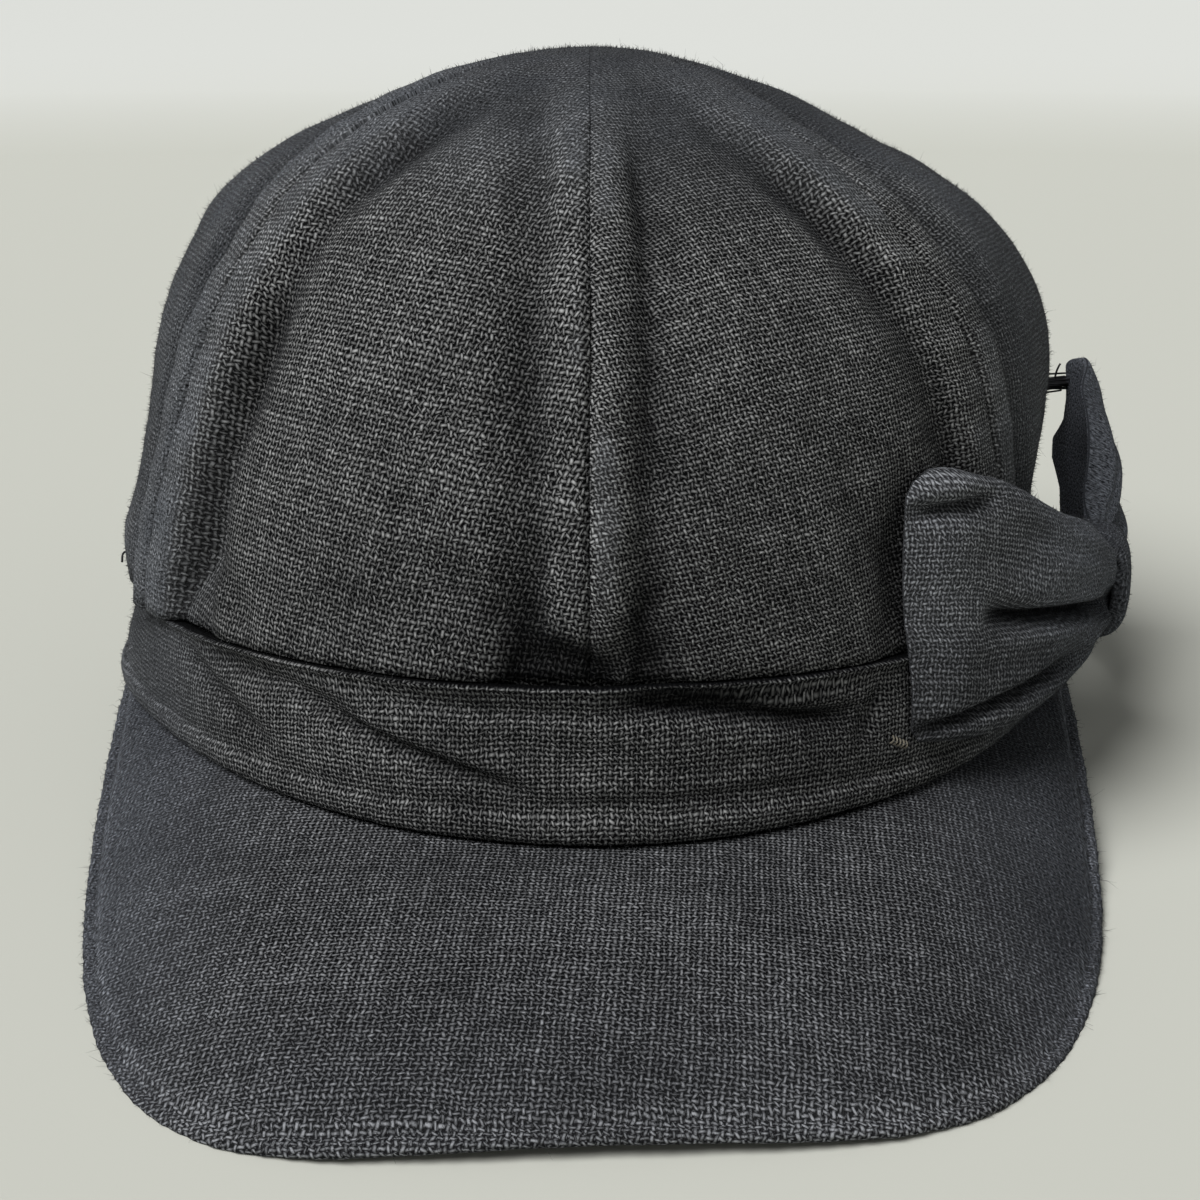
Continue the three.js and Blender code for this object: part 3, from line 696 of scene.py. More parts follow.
fibre_fields = []
for k, (node, pitch_across, pitch_up, grain) in enumerate(crown_panels):
    seams = crown_seams[k:k + 2]
    panel_rows, panel_columns = FINE_PANEL if "panel_front" in node else PLAIN_PANEL
    turn = (np.linspace(0, 1, panel_rows) ** 0.9 * CROWN_TIP)[:, None]
    even = np.linspace(0, 1, panel_columns)[None, :]
    share = even - 0.6 * np.sin(2 * math.pi * even) / (2 * math.pi)
    start, end = (seam_angle(seam, turn) for seam in seams)
    angle = start + (end - start) * share
    degrees = np.degrees(angle)

    # The face and its back, which keep a little apart from the next panel's
    ground = smooth_crown(angle, turn)
    normal = outward(smooth_crown, angle, np.minimum(turn, 0.99), np.array([0, 0, BAND_HEIGHT]))
    tucked = FOOT_TUCK * hump((degrees - FOOT_TUCK_AT) / FOOT_TUCK_WIDE)
    relief = crown_relief(angle, turn, seams, 10 + k)
    relief = np.maximum(relief, -1.5 - tucked - 4.0 * ease(turn, 0, 0.09))
    edge = np.abs(share - np.round(share)) * (end - start) * HALF_WIDTH
    rolled = SEAM_ROLL * (1 - ease(edge, 0, 0.8)) * seam_depth(turn)
    outer = ground + normal * (relief - rolled)[..., None]
    inner = ground + normal * (np.minimum(relief, 0.4) * 0.8 - CROWN_CLOTH - 0.3)[..., None]
    inner[..., 2] += 1.0 - ease(turn, 0, 0.03)
    inward = unit(np.gradient(ground, axis=1)) * (np.sign(0.5 - share) * hump(edge / 0.5))[..., None]
    outer = outer + SEAM_APART * inward
    inner = inner - 4 * SEAM_APART * inward

    # The allowance below them
    foot = band_top(angle[:1]) + SEAM_GAP
    foot_in = -ALLOWANCE_IN - tucked[:1]
    outer_foot = on_oval(angle[:1], foot_in, foot - np.array([[ALLOWANCE_LONG], [0.1]]))
    inner_foot = on_oval(angle[:1], foot_in - ALLOWANCE_CLOTH, foot - np.array([[ALLOWANCE_LONG], [-1.1]]))
    points = np.concatenate([outer_foot, outer, inner_foot, inner])

    # Threads, as the panel lies when it is unrolled flat like a cone
    middle = panel_columns // 2
    across = run_length(ground, axis=1)
    across -= across[:, middle:middle + 1]
    climb = run_length(ground[:, middle])
    from_axis = np.maximum(1, np.hypot(ground[:, middle, 0], ground[:, middle, 1]))
    narrowing = np.maximum(1e-4, -np.gradient(from_axis, climb))
    bow = np.clip(from_axis / narrowing, 8, 1e5)[:, None]
    flat_across = bow * np.sin(across / bow)
    flat_up = climb[:, None] + bow * (1 - np.cos(across / bow))
    grain = math.radians(grain)
    threads = np.stack([
        (flat_across * math.cos(grain) - flat_up * math.sin(grain)) / pitch_across + 300 * k,
        (flat_across * math.sin(grain) + flat_up * math.cos(grain)) / pitch_up + 200,
    ], -1)
    threads = np.concatenate([threads[:1], threads[:1], threads])
    threads[0, :, 1] -= ALLOWANCE_LONG / pitch_up

    # Painted shade and light: darker at the tip, at the foot, in the tuck and in dips and creases, lighter
    # on ridges and puffs; nap and painted sheen at the sides, on top and on the puffs
    from_front = np.abs((angle + math.pi) % (2 * math.pi) - math.pi)
    shade = TIP_SHADE * ease(turn, 0.5, 0.85) + FOOT_SHADE * (1 - ease(turn, 0.05, 0.3))
    shade = shade + TUCK_SHADE * hump((degrees + 2.5) / 4.5) * (1 - ease(turn, 0, 0.06))
    darkest = DARKEST_FRONT + (DARKEST_SIDE - DARKEST_FRONT) * ease(from_front, 0.5, 0.9)
    shown = np.maximum(relief - shade, darkest)
    shown = np.concatenate([np.zeros((2, panel_columns)), shown])
    top_nap_and_sheen = (0.65 - 0.35 * ease(from_front, 1.0, 2.0)) * ease(turn, 0.43, 0.7)
    nap_and_sheen = side_nap_and_sheen(from_front, 0.7, 1.05, 0.64, 0.4) + top_nap_and_sheen + 0.3 * ease(relief, 0.8, 1.6)
    nap_and_sheen = np.minimum(nap_and_sheen, MOST_NAP_AND_SHEEN)
    nap_and_sheen = nap_and_sheen * (1 + 0.18 * ripple(across, climb[:, None], 12, 80 + k))
    nap_and_sheen = np.concatenate([nap_and_sheen[:2], nap_and_sheen])
    faces = wall_faces(panel_rows + 2, panel_columns)
    panel = put_cloth(node + "_cloth", points, faces, crown_linen,
                      np.stack([threads, threads]), np.stack([shown, 0 * shown]), np.stack([nap_and_sheen, nap_and_sheen]))
    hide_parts(node)
    fibre_fields.append(outer)


# The band: a straight strip of the same linen round the opening. It is folded under at its foot, where a
# narrow turned edge shows, and sewn to the crown at its top, where it rolls over the seam. It is creased.
BAND_WALL = 2.0
BAND_COLUMNS = 640
BAND_RADIUS = 92.0
BAND_DEGREE = math.radians(BAND_RADIUS)
BAND_TALL = BAND_HEIGHT - BAND_TOP_DIP + BAND_FOOT_DIP
BAND_THREAD_ALONG = 0.72
BAND_THREAD_UP = 0.76
BAND_DRAWN = 2.8
# Painted shade, in the fold's terms, on the band's inner face and along the top of its roll
BAND_INNER_FOLD = -3.0

# The band's outer face from its foot up: share of the height, and how far it stands out
band_section = np.array([
    [0.00, -0.6],
    [0.03, 0.10],
    [0.09, 0.42],
    [0.155, 0.38],
    [0.185, -0.35],
    [0.22, -0.35],
    [0.30, 0.05],
    [0.50, 0.3],
    [0.75, 0.1],
    [0.90, -0.25],
    [0.95, 0.0],
    [0.975, 0.42],
    [0.992, 0.5],
    [1.00, -0.1],
])

# Creases: angle and share of the height at both ends, depth and width in millimetres
band_creases = [
    (-48.0, 0.80, -36.0, 0.40, 1.7, 2.4),
    (-28.0, 0.72, -8.0, 0.36, 2.4, 1.7),
    (-42.0, 0.90, -24.0, 0.78, 1.2, 1.6),
    (4.7, 0.90, 25.5, 0.70, 3.4, 2.4),
    (5.0, 0.92, 17.0, 0.88, 2.0, 2.0),
    (30.5, 0.80, 28.0, 0.50, 1.1, 1.5),
    (-4.0, 0.27, 22.0, 0.30, 0.8, 0.8),
    (-18.0, 0.88, 4.0, 0.84, 0.9, 1.2),
    (-16.0, 0.62, 8.0, 0.60, 0.6, 2.2),
    (-2.0, 0.48, 20.0, 0.46, 0.5, 1.8),
]

# Puffs: angle and share of the height, size across and up, how far out
band_puffs = [
    (-76, 0.0, 16, 0.4, 1.8),
    (-76, 1.0, 16, 0.5, -2.0),
]


def from_middle(angle):
    """The angle from the middle of the front in degrees, between -180 and 180."""
    return (np.degrees(angle) + 180) % 360 - 180


def band_pinch(angle, up):
    """How far cloth moves up onto the band's creases, as a share of its height."""
    u = from_middle(angle) * BAND_DEGREE
    drawn = all_folds(pinch, u, up * BAND_TALL, band_creases, BAND_DEGREE, BAND_TALL) / BAND_DRAWN
    return drawn / BAND_TALL * (1 - ease(up, 0.88, 0.97)) * ease(up, 0.05, 0.18)


def band_relief(angle, up):
    """How far the band stands out of its section: puffs, creases, a soft unevenness, puckers along both
    edges, and the join at the back."""
    degrees = from_middle(angle)
    u = degrees * BAND_DEGREE
    relief = all_puffs(degrees, up, band_puffs, 1.0)
    relief = relief - all_folds(crease, u, up * BAND_TALL, band_creases, BAND_DEGREE, BAND_TALL)
    relief = relief + 0.3 * ripple(60 * np.sin(angle), 60 * np.cos(angle) + up * 12, 26, 31)
    edges = np.exp(-(1 - up) * BAND_TALL / 3) + np.exp(-up * BAND_TALL / 2)
    waves = np.sin(2 * math.pi * (u + 2 * np.sin(u / 8)) / 5.5) + 0.6 * np.sin(2 * math.pi * u / 3.4 + 1)
    join = 0.9 * hump((180 - np.abs(degrees)) / 0.6)
    return relief + 0.10 * waves * edges - join


angle = np.linspace(-math.pi, math.pi, BAND_COLUMNS, endpoint=False)[:, None]
angle = angle - 0.18 * np.sin(angle)
up = [np.linspace(0, 0.24, 11), np.linspace(0.27, 0.88, 17), np.linspace(0.9, 1, 12)]
up = np.concatenate(up)[None, :]
inner_up = np.linspace(1, 0, 9)[None, :]
foot, tall = band_foot(angle), band_top(angle) - band_foot(angle)
relief = band_relief(angle, up)
out = between_rows(up, band_section[:, 0], band_section[:, 1]) + relief
inner_out = np.minimum(0, band_relief(angle, inner_up)) * 0.5 - BAND_WALL
band_outside = on_oval(angle, out, foot + tall * (up + band_pinch(angle, up)))
band_inside = on_oval(angle, inner_out, foot + tall * inner_up)
section = np.concatenate([band_outside, band_inside], axis=1)
band_faces = grid_faces(point_grid(*section.shape[:2], closed_rows=1, closed_columns=1))
along = run_length(on_oval(np.append(angle, angle[0] + 2 * math.pi), 0, 0))
round_count = 2 * np.round(along[-1] / BAND_THREAD_ALONG / 2)
along_threads = (along[:-1] / along[-1] * round_count)[:, None]
up_threads = np.concatenate([foot + tall * up, foot + tall * inner_up + 40 * BAND_THREAD_UP], axis=1)
band_threads = np.stack(np.broadcast_arrays(along_threads, up_threads / BAND_THREAD_UP), -1)
# The fold paints shade in the band's creases and light where it stands out, and painted shade on its inner
# face; its nap and painted sheen rise at the sides
inner_fold = np.full((BAND_COLUMNS, inner_up.size), BAND_INNER_FOLD)
band_fold = np.concatenate([relief + BAND_INNER_FOLD * ease(up, 0.994, 1), inner_fold], axis=1)
band_nap_and_sheen = side_nap_and_sheen(np.abs(angle), 0.62, 1.0, 0.58, 0.34) + 0 * band_fold
# The band's thread tops are a darker grey than the crown's, as painted shade, and its folds are painted more
# strongly
band_linen = linen("band_linen", light=(0.245, 0.247, 0.247), wander=0.26, wear_and_shade=0.28)
band = put_cloth("band_cloth", section, band_faces, band_linen,
                 band_threads, band_fold, band_nap_and_sheen, around=round_count)
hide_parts("band")
fibre_fields.append(band_outside)


# The peak: a stiff crescent covered above and below with linen, which is sewn together along the edge and
# turned right side out, so that the edge is round. It is slung under the band's foot and arches down.
PEAK_ROOT = -28.0
PEAK_REACH = 130.6
PEAK_HALF_RIGHT = 82.5
PEAK_HALF_LEFT = 84.7
PEAK_TAPER = 0.174
PEAK_ROUND = 3.36
PEAK_CORNER = 4.59
PEAK_SKEW = 0.057
PEAK_DROP = 23.5
PEAK_DROP_RUN = 128.0
PEAK_ARCH = 5.0
PEAK_ARCH_WIDTH = 66.0
PEAK_CROWNING = 1.6
PEAK_END_ANGLE = 71
PEAK_END_HANG = 1.6
PEAK_END_RUN = 14
PEAK_WALL = 2.6
LIP_DEEP = 1.9
PEAK_COLUMNS = 341
PEAK_THREAD = 0.8
PEAK_GRAIN = math.radians(4)
EDGE_WORN = 3.0


def peak_height(x, y):
    """The height of the peak's edge: a straight slope down from its root, less an arch that goes with the
    square of x, less a little where its ends hang."""
    run = np.maximum(0, PEAK_ROOT - y)
    arch = PEAK_ARCH * (x / PEAK_ARCH_WIDTH) ** 2 * np.minimum(1, run / (PEAK_DROP_RUN / 2))
    hang = PEAK_END_HANG * np.maximum(0, 1 - run / PEAK_END_RUN)
    return -PEAK_DROP * run / PEAK_DROP_RUN - arch - hang


def peak_edge(side, along):
    """The peak's edge in plan, one side of the middle: its half width narrows evenly and then closes like
    a rounded square, from 0 at the root to 1 in the middle of the front."""
    half = PEAK_HALF_RIGHT if side < 0 else PEAK_HALF_LEFT
    body = np.maximum(0, 1 - along**PEAK_ROUND) ** (1 / PEAK_CORNER)
    x = side * half * (1 - PEAK_TAPER * along) * body
    y = PEAK_ROOT - PEAK_REACH * along + PEAK_SKEW * x * along
    return np.stack([x, y, peak_height(x, y)], -1)


def end_cap(ring):
    """The faces across the end of a tube, between the two halves of its ring of point numbers."""
    half = ring.size // 2
    return grid_faces(np.stack([ring[:half], ring[::-1][:half]], 1))


fine = 1 - (1 - np.linspace(0, 1, 1501)) ** 2
edge_line = np.concatenate([peak_edge(-1, fine), peak_edge(1, fine)[-2::-1]])
edge_length = run_length(edge_line)
even_length = np.linspace(0, edge_length[-1], PEAK_COLUMNS)
peak_rim = np.stack([np.interp(even_length, edge_length, edge_line[:, k]) for k in range(3)], -1)
root_angle = np.radians(np.linspace(-PEAK_END_ANGLE, PEAK_END_ANGLE, PEAK_COLUMNS))
peak_root = on_oval(root_angle, -BAND_WALL + 0.2, band_foot(root_angle) - SEAM_GAP - 0.1)
peak_length = np.linalg.norm(peak_rim - peak_root, axis=-1)[:, None]

# The section: out along the upper face, round the edge in a half circle, and back along the lower face
reach = np.concatenate([np.linspace(0, 0.86, 44), np.linspace(0.88, 0.99, 14)])
back = reach[::-2]
edge_turn = np.linspace(0, math.pi, 11)
edge_drop = PEAK_WALL / 2 * (np.cos(edge_turn) - 1)
share_out = np.concatenate([reach, np.ones(11), back])[None, :]
lift = np.concatenate([0 * reach, edge_drop, 0 * back - PEAK_WALL])
push = np.concatenate([0 * reach, LIP_DEEP * np.sin(edge_turn), 0 * back])
relief_share = np.concatenate([0 * reach + 1, (1 + np.cos(edge_turn)) / 2, 0 * back])
rim_out = unit((peak_rim - peak_root) * [1, 1, 0])
base = peak_root[:, None] + (peak_rim - peak_root)[:, None] * share_out[..., None]
base[..., 2] += lift + PEAK_CROWNING * np.minimum(1, peak_length / 40) * 4 * share_out * (1 - share_out)
base = base + rim_out[:, None] * (push - LIP_DEEP)[None, :, None] * (share_out[..., None] ** 4)
u, v = base[..., 0], base[..., 1]
from_edge = peak_length * (1 - share_out)
peak_relief = 0.16 * ripple(u, v, 26, 71) + 0.07 * ripple(u, v, 8, 72)
peak_relief = peak_relief - 0.16 * hump((from_edge - 5.5) / 1.6) - 0.5 * (1 - ease(from_edge, 0, 2.2))
base[..., 2] += peak_relief * ease(share_out, 0, 0.2) * relief_share
rim_wave = 0.10 * np.sin(2 * math.pi * even_length / 3.1)
rim_wave = rim_wave + 0.12 * ripple(even_length, 0 * even_length, 9, 74)
base = base + rim_out[:, None] * (rim_wave[:, None] * share_out**30)[..., None]
peak_grid = point_grid(*base.shape[:2], closed_columns=1)
peak_faces = [grid_faces(peak_grid), end_cap(peak_grid[0, :-1]), end_cap(peak_grid[-1, :-1])[:, ::-1]]
peak_faces = np.concatenate(peak_faces)

# Threads run straight over the upper face and go on round the edge
lip = slice(reach.size - 1, reach.size)
is_upper = (np.arange(share_out.size) < reach.size)[None, :]
section_length = run_length(base, axis=1)
past_lip = np.maximum(0, section_length - section_length[:, lip])
over_u = np.where(is_upper, u, u[:, lip] + rim_out[:, :1] * past_lip)
over_v = np.where(is_upper, v, v[:, lip] + rim_out[:, 1:2] * past_lip)
peak_threads = np.stack([
    over_u * math.cos(PEAK_GRAIN) - over_v * math.sin(PEAK_GRAIN),
    over_u * math.sin(PEAK_GRAIN) + over_v * math.cos(PEAK_GRAIN),
], -1) / PEAK_THREAD

# Worn pale along the edge; painted shade darker towards the wearer's left and painted light towards the
# wearer's right; nap and painted sheen at both sides and along the edge
peak_fold = EDGE_WORN * hump((from_edge - 0.5) / 1.8) - 0.35
peak_fold = peak_fold - 0.7 * ease(u, 20, 70) + 0.55 * ease(-u, 30, 70)
peak_nap_and_sheen = np.maximum(0.72 * ease(np.abs(u), 38, 74), 0.14 * (1 - ease(from_edge, 6, 34)))
# The peak's thread tops are a darker and bluer grey than the crown's, as painted shade and painted sheen
peak_linen = linen("peak_linen", light=(0.24, 0.245, 0.256), wander=0.22)
peak = put_cloth("peak_cloth", base, peak_faces, peak_linen, peak_threads, peak_fold, peak_nap_and_sheen)
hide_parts("peak")
fibre_fields.append(base[:, :reach.size + 5])


# The bow: a flattened tube of the same linen, gathered in the middle. Its front half is sewn flat to the
# crown and the band along its outer end, and its back half stands up free behind the knot.
BOW_WALL = 2.6
BOW_CLEAR = 0.3
BOW_FREE = 6.0
BOW_STEPS = 101
BOW_ROWS = 101
GATHER_FOLDS = 2.5

# Sections along each half, from its outer end to the knot: angle, gap to the cap, centre height, half
# height, and depth of its gathers
bow_front_sections = np.array([
    [34, 0.2, 22.4, 20.0, 0.0],
    [39, 1.4, 22.0, 20.6, 0.2],
    [47, 3.4, 20.2, 18.8, 0.3],
    [55, 5.4, 18.6, 14.8, 0.5],
    [61, 6.8, 18.4, 12.2, 0.6],
    [65, 6.6, 18.0, 10.6, 0.4],
    [68.5, 5.6, 17.4, 8.3, 0.2],
    [72.2, 5.2, 17.2, 8.0, 0.2],
])
bow_back_sections = np.array([
    [104, 15.2, 29.0, 22.0, 0.0],
    [102, 15.2, 29.0, 23.0, 0.1],
    [96, 15.2, 27.4, 21.0, 0.6],
    [90, 14.0, 23.8, 17.0, 1.1],
    [84, 11.0, 19.8, 11.6, 1.4],
    [79, 6.8, 17.6, 8.8, 1.2],
    [75, 5.4, 17.2, 8.3, 0.9],
    [72.8, 5.2, 17.2, 8.0, 0.6],
])

# Single folds: angle and height at both ends, depth and width in millimetres
bow_front_folds = [
    (45.5, 19.6, 66.0, 15.8, 6.5, 2.5),
    (48, 14.6, 66, 11.6, -1.4, 2.6),
    (50, 26.5, 67, 21.5, -1.9, 3.6),
    (34, 4.0, 56, 9.0, 3.0, 1.4),
    (35, 36.5, 43, 37.5, 3.0, 1.5),
    (35, 40.2, 41, 41.0, -1.0, 1.8),
]
bow_back_folds = [
    (77, 18.5, 98, 33.0, 0.9, 3.4),
    (77, 14.0, 92, 16.0, 0.9, 2.6),
]

# How much further each half's outer end reaches: share of its half height, and degrees
bow_front_end = [(-1, 0.8), (-0.9, 0), (0, -0.4), (0.82, -0.3), (0.93, 0.5), (1, 2.2)]
bow_back_end = [
    (-1, -1), (-0.4, -0.8), (-0.2, -0.4), (0.06, 1.8), (0.24, 1.8),
    (0.42, -0.6), (0.6, -1), (0.9, -0.5), (1, -4),
]

# Millimetres in a degree, softness of the edges, and the height at which the cloth was cut
BOW_DEGREE = 1.63
BOW_EDGE_SOFT = 2.8
BOW_HALF_CUT = 21.0

# The middle's height, and the pitch of the threads
BOW_MIDDLE = 18.0
BOW_THREAD_ALONG = 0.74
BOW_THREAD_UP = 0.80

# How far the back half leans in, the painted light on its shaded inner face, the filling at the knot, and
# how folds draw the cloth
BACK_LEAN = 4.5
BACK_INNER_FOLD = 4.0
KNOT_FILL = 3.2
FOLD_DRAWN = 4.5


def cap_surface(angle, height):
    """The cap's outline at an angle and a height, on which the bow lies: the band, and over it the crown."""
    top = band_top(angle)
    rise = np.clip((height - top) / (BAND_HEIGHT + CROWN_HEIGHT - top), 0, 0.9)
    crown = smooth_crown(angle, np.arcsin(rise) / (math.pi / 2))
    crown[..., 2] = height
    return np.where((height <= top)[..., None], on_oval(angle, 0.4, height), crown)


def bow_half(sections, folds, far_end, is_free, seed):
    """One half of the bow: its outer and inner grids, how far it stands out, and its threads. At each angle
    its middle stands off the cap by its gap, its face waves in gathers that deepen towards the knot, and
    single folds sink into it. Its thickness closes like a quarter ellipse at its edges."""
    share = np.sin(np.linspace(-1, 1, BOW_ROWS) * 0.45 * math.pi)[None, :] / math.sin(0.45 * math.pi)
    step = np.linspace(0, 1, BOW_STEPS)[:, None] ** 1.15
    first, last = sections[0, 0], sections[-1, 0]
    end_shift = np.interp(share, *np.transpose(far_end)) * (1 - step) ** 3
    degrees = first + (last - first) * step + end_shift
    off, centre, half, gather = (between_rows(degrees, sections[:, 0], row) for row in sections.T[1:])
    share = share + 0 * degrees
    angle = np.radians(degrees)
    height = centre + half * share
    out = unit(np.stack([HALF_DEPTH * np.sin(angle), -HALF_WIDTH * np.cos(angle), 0 * angle], -1))
    gathers = gather * np.cos(GATHER_FOLDS * math.pi * share)
    small = 0.35 * gather * np.sin(7.3 * math.pi * share + 0.08 * degrees + seed)
    puff = gather * (1 - share**2)
    along = degrees * BOW_DEGREE
    sunk = all_folds(crease, along, height, folds, BOW_DEGREE)
    drawing = [row for row in folds if row[4] > 0]
    height = height + all_folds(pinch, along, height, drawing, BOW_DEGREE) / FOLD_DRAWN

    # Where it lies close, it follows the cap behind each point, and elsewhere the cap behind its middle
    low_height = np.maximum(height, band_foot(angle))
    seat = sum(cap_surface(angle, low_height + shift) for shift in (-4, -2, 0, 2, 4)) / 5
    middle = cap_surface(angle, centre)
    level = middle + (seat - middle) * np.maximum(0, 1 - off / BOW_FREE)[..., None]
    level[..., 2] = height
    from_end = np.abs(degrees - first - end_shift) * BOW_DEGREE
    from_side = (1 - np.abs(share)) * half
    near = np.clip(np.minimum(from_end * (1.6 if is_free else 1), from_side) / BOW_EDGE_SOFT, 0, 1)
    closing = 0.15 + 0.85 * np.sqrt(1 - (1 - near) ** 2)
    into_knot = KNOT_FILL * (1 - ease(np.abs(degrees - last), 3.0, 8.0))
    uneven = 0.25 * ripple(along, height, 13, seed)
    thick = BOW_WALL * (1 if is_free else 0.3 + 0.7 * ease(from_end, 0, 9))
    face = (thick + puff + small + uneven + into_knot - sunk) * closing
    stands = off + gathers / 2 + BOW_CLEAR
    if is_free:
        leans = BACK_LEAN * np.maximum(0, share) ** 4 * ease(degrees, 77, 84) * (1 - ease(degrees, 93, 100))
        stands = stands - leans + 0.5 * BOW_WALL * (1 - closing)
    else:
        pressed = np.clip(sunk - 0.6 * thick, 0, 0.7 * off)
        stands = stands - pressed
        face = face + pressed * closing
    inner = level + out * (stands - (into_knot - 0.4 * is_free * sunk) * closing)[..., None]
    outer = level + out * (stands + np.maximum(face, 0.25))[..., None]
    relief = gathers / 2 + puff * 0.3 + small - sunk * 0.9
    lengths = run_length(outer)
    lengths -= lengths[-1:]
    up_threads = share * (half + BOW_HALF_CUT) / 2 / BOW_THREAD_UP
    return outer, inner, relief, np.stack([lengths / BOW_THREAD_ALONG, up_threads], -1)


# The bow's and the knot's thread tops are a lighter grey than the crown's, as painted light
bow_linen = linen("bow_linen", light=(0.32, 0.325, 0.336))
bow_halves = (
    ("bow_front_half", bow_front_sections, bow_front_folds, bow_front_end, False, 5),
    ("bow_back_half", bow_back_sections, bow_back_folds, bow_back_end, True, 6),
)
for node, sections, folds, far_end, is_free, seed in bow_halves:
    outer, inner, relief, threads = bow_half(sections, folds, far_end, is_free, seed)
    # Painted light and shade, in the fold's terms: the back half lighter all over, the front half darker
    # towards its bottom, and both lighter on gathers and darker in folds; nap and painted sheen on the back
    # half and growing towards the side on the front half
    if is_free:
        relief = relief + 1.7
        nap_and_sheen = 0.9 + 0 * relief
    else:
        relief = relief + 1.1 - 2.3 * ease(BOW_MIDDLE - outer[..., 2], -4.2, 6.0)
        nap_and_sheen = 0.3 + 0.4 * ease(outer[..., 0], 60, 82)
    inner_fold = 0 * relief + (BACK_INNER_FOLD if is_free else 0)
    half = put_cloth(node + "_cloth", np.stack([outer, inner]), wall_faces(BOW_STEPS, BOW_ROWS), bow_linen,
                     np.stack([threads, threads + 90]), np.stack([relief, inner_fold]), np.stack([nap_and_sheen, nap_and_sheen]))
    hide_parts(node)
    fibre_fields.append(outer)
    if is_free:
        fibre_fields.append(inner)
        free_end_row = inner[1]


# The knot: a narrow strip of the linen wrapped tightly round the gathered middle of the bow, with small
# creases across it.
KNOT_ANGLE = math.radians(72.5)
KNOT_LENGTH = 15.0
KNOT_HALF_HEIGHT = 9.8
KNOT_HALF_DEPTH = 6.8
KNOT_OFF = 6.8
KNOT_CENTRE = 17.2
KNOT_WALL = 1.5
KNOT_SQUARE = 0.75
KNOT_TAPER = 2.3
KNOT_THREAD = 0.76
KNOT_ROUND = 26.0
KNOT_COLUMNS = 120
turn = np.linspace(0, 2 * math.pi, KNOT_COLUMNS, endpoint=False)[:, None]
outside_along = np.linspace(-0.96, 0.96, 41)
edge_along = np.concatenate([[0.985, 1.0, 0.99], np.linspace(0.94, 0.10, 6)])
edge_inset = np.concatenate([[0.2, 0.6, 1.1], np.full(6, KNOT_WALL)])
place_along = np.concatenate([-edge_along[::-1], outside_along, edge_along])
inset = np.concatenate([edge_inset[::-1], 0 * outside_along, edge_inset])
wraps = 0.22 * np.sin(2 * math.pi * place_along * 1.6 + 1.2 * np.sin(2 * turn)) * (1 - inset / KNOT_WALL)
shrink = inset + KNOT_TAPER * np.abs(place_along) ** 5 + 0.3 * (1 - place_along**2) + wraps
place_along = place_along * KNOT_LENGTH / 2


def squared(value):
    """A sine or cosine drawn towards a square: its size to a power, with its sign."""
    return np.sign(value) * np.abs(value) ** KNOT_SQUARE


out_level = unit(np.array([HALF_DEPTH * math.sin(KNOT_ANGLE), -HALF_WIDTH * math.cos(KNOT_ANGLE), 0]))
along_level = np.cross([0, 0, 1], out_level)
knot_middle = on_oval(KNOT_ANGLE, 0, KNOT_CENTRE) + out_level * KNOT_OFF
high = (KNOT_HALF_HEIGHT - shrink) * squared(np.sin(turn))
deep = (KNOT_HALF_DEPTH - shrink) * squared(np.cos(turn))
knot_points = knot_middle + along_level * (place_along + 0 * turn)[..., None] + out_level * deep[..., None]
knot_points[..., 2] += high
knot_grid = point_grid(*knot_points.shape[:2], closed_rows=1)
knot_faces = [grid_faces(knot_grid), end_cap(knot_grid[:-1, 0]), end_cap(knot_grid[:-1, -1])[:, ::-1]]
knot_faces = np.concatenate(knot_faces)
knot_count = 2 * round(KNOT_ROUND / KNOT_THREAD)
profile_length = run_length(np.stack([place_along, inset], -1))
knot_threads = np.broadcast_arrays(turn / (2 * math.pi) * knot_count, profile_length / KNOT_THREAD)
# Painted shade, in the fold's terms, where the knot narrows towards its ends and along its wraps; nap and
# painted sheen all over
knot = put_cloth("bow_knot_cloth", knot_points, knot_faces, bow_linen, np.stack(knot_threads, -1),
                 inset - shrink, 0.7 + 0 * shrink, around=knot_count)
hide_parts("bow_knot")
fibre_fields.append(knot_points[:, 9:50])


# The tacks: strong black thread. A bundle of it ties the bow's free end loosely to the crown, with one cut
# end left standing, and another end hangs out of the crown's side seam. A few pale brown stitches hold the
# bow's lower corner to the band.
TACK_THREADS = 30
TACK_SPREAD = 0.75
TACK_ROW = 79
TACK_CROWN_ANGLE = math.radians(99)
TACK_RADIUS = 0.2
STRAY_ANGLE = math.radians(-74)
THREAD_SIDES = 6
STITCH_RADIUS = 0.14
CORNER_STITCHES = 5


def ring_round(heading, aside, sides):
    """Unit directions all round a heading: the first is its cross product with a direction aside."""
    first = unit(np.cross(heading, aside))
    second = np.cross(heading, first)
    spin = (np.arange(sides) * 2 * math.pi / sides)[:, None]
    return first[..., None, :] * np.cos(spin) + second[..., None, :] * np.sin(spin)


def repeated(triangles, size, count):
    """The triangles of a number of equal shapes, each with its own run of points of one size."""
    return (triangles[None] + size * np.arange(count)[:, None, None]).reshape(-1, 3)


def tube_faces(rings, sides, count):
    """The triangles of a number of equal tubes, whose points come ring by ring, closed at both ends."""
    faces = grid_faces(point_grid(rings, sides, closed_columns=1).T)
    fan = np.arange(1, sides - 1)
    fan = np.stack([0 * fan, fan, fan + 1], -1)
    ends = np.concatenate([fan[:, ::-1], fan + (rings - 1) * sides])
    return repeated(np.concatenate([faces[:, :3], faces[:, [0, 2, 3]], ends]), rings * sides, count)


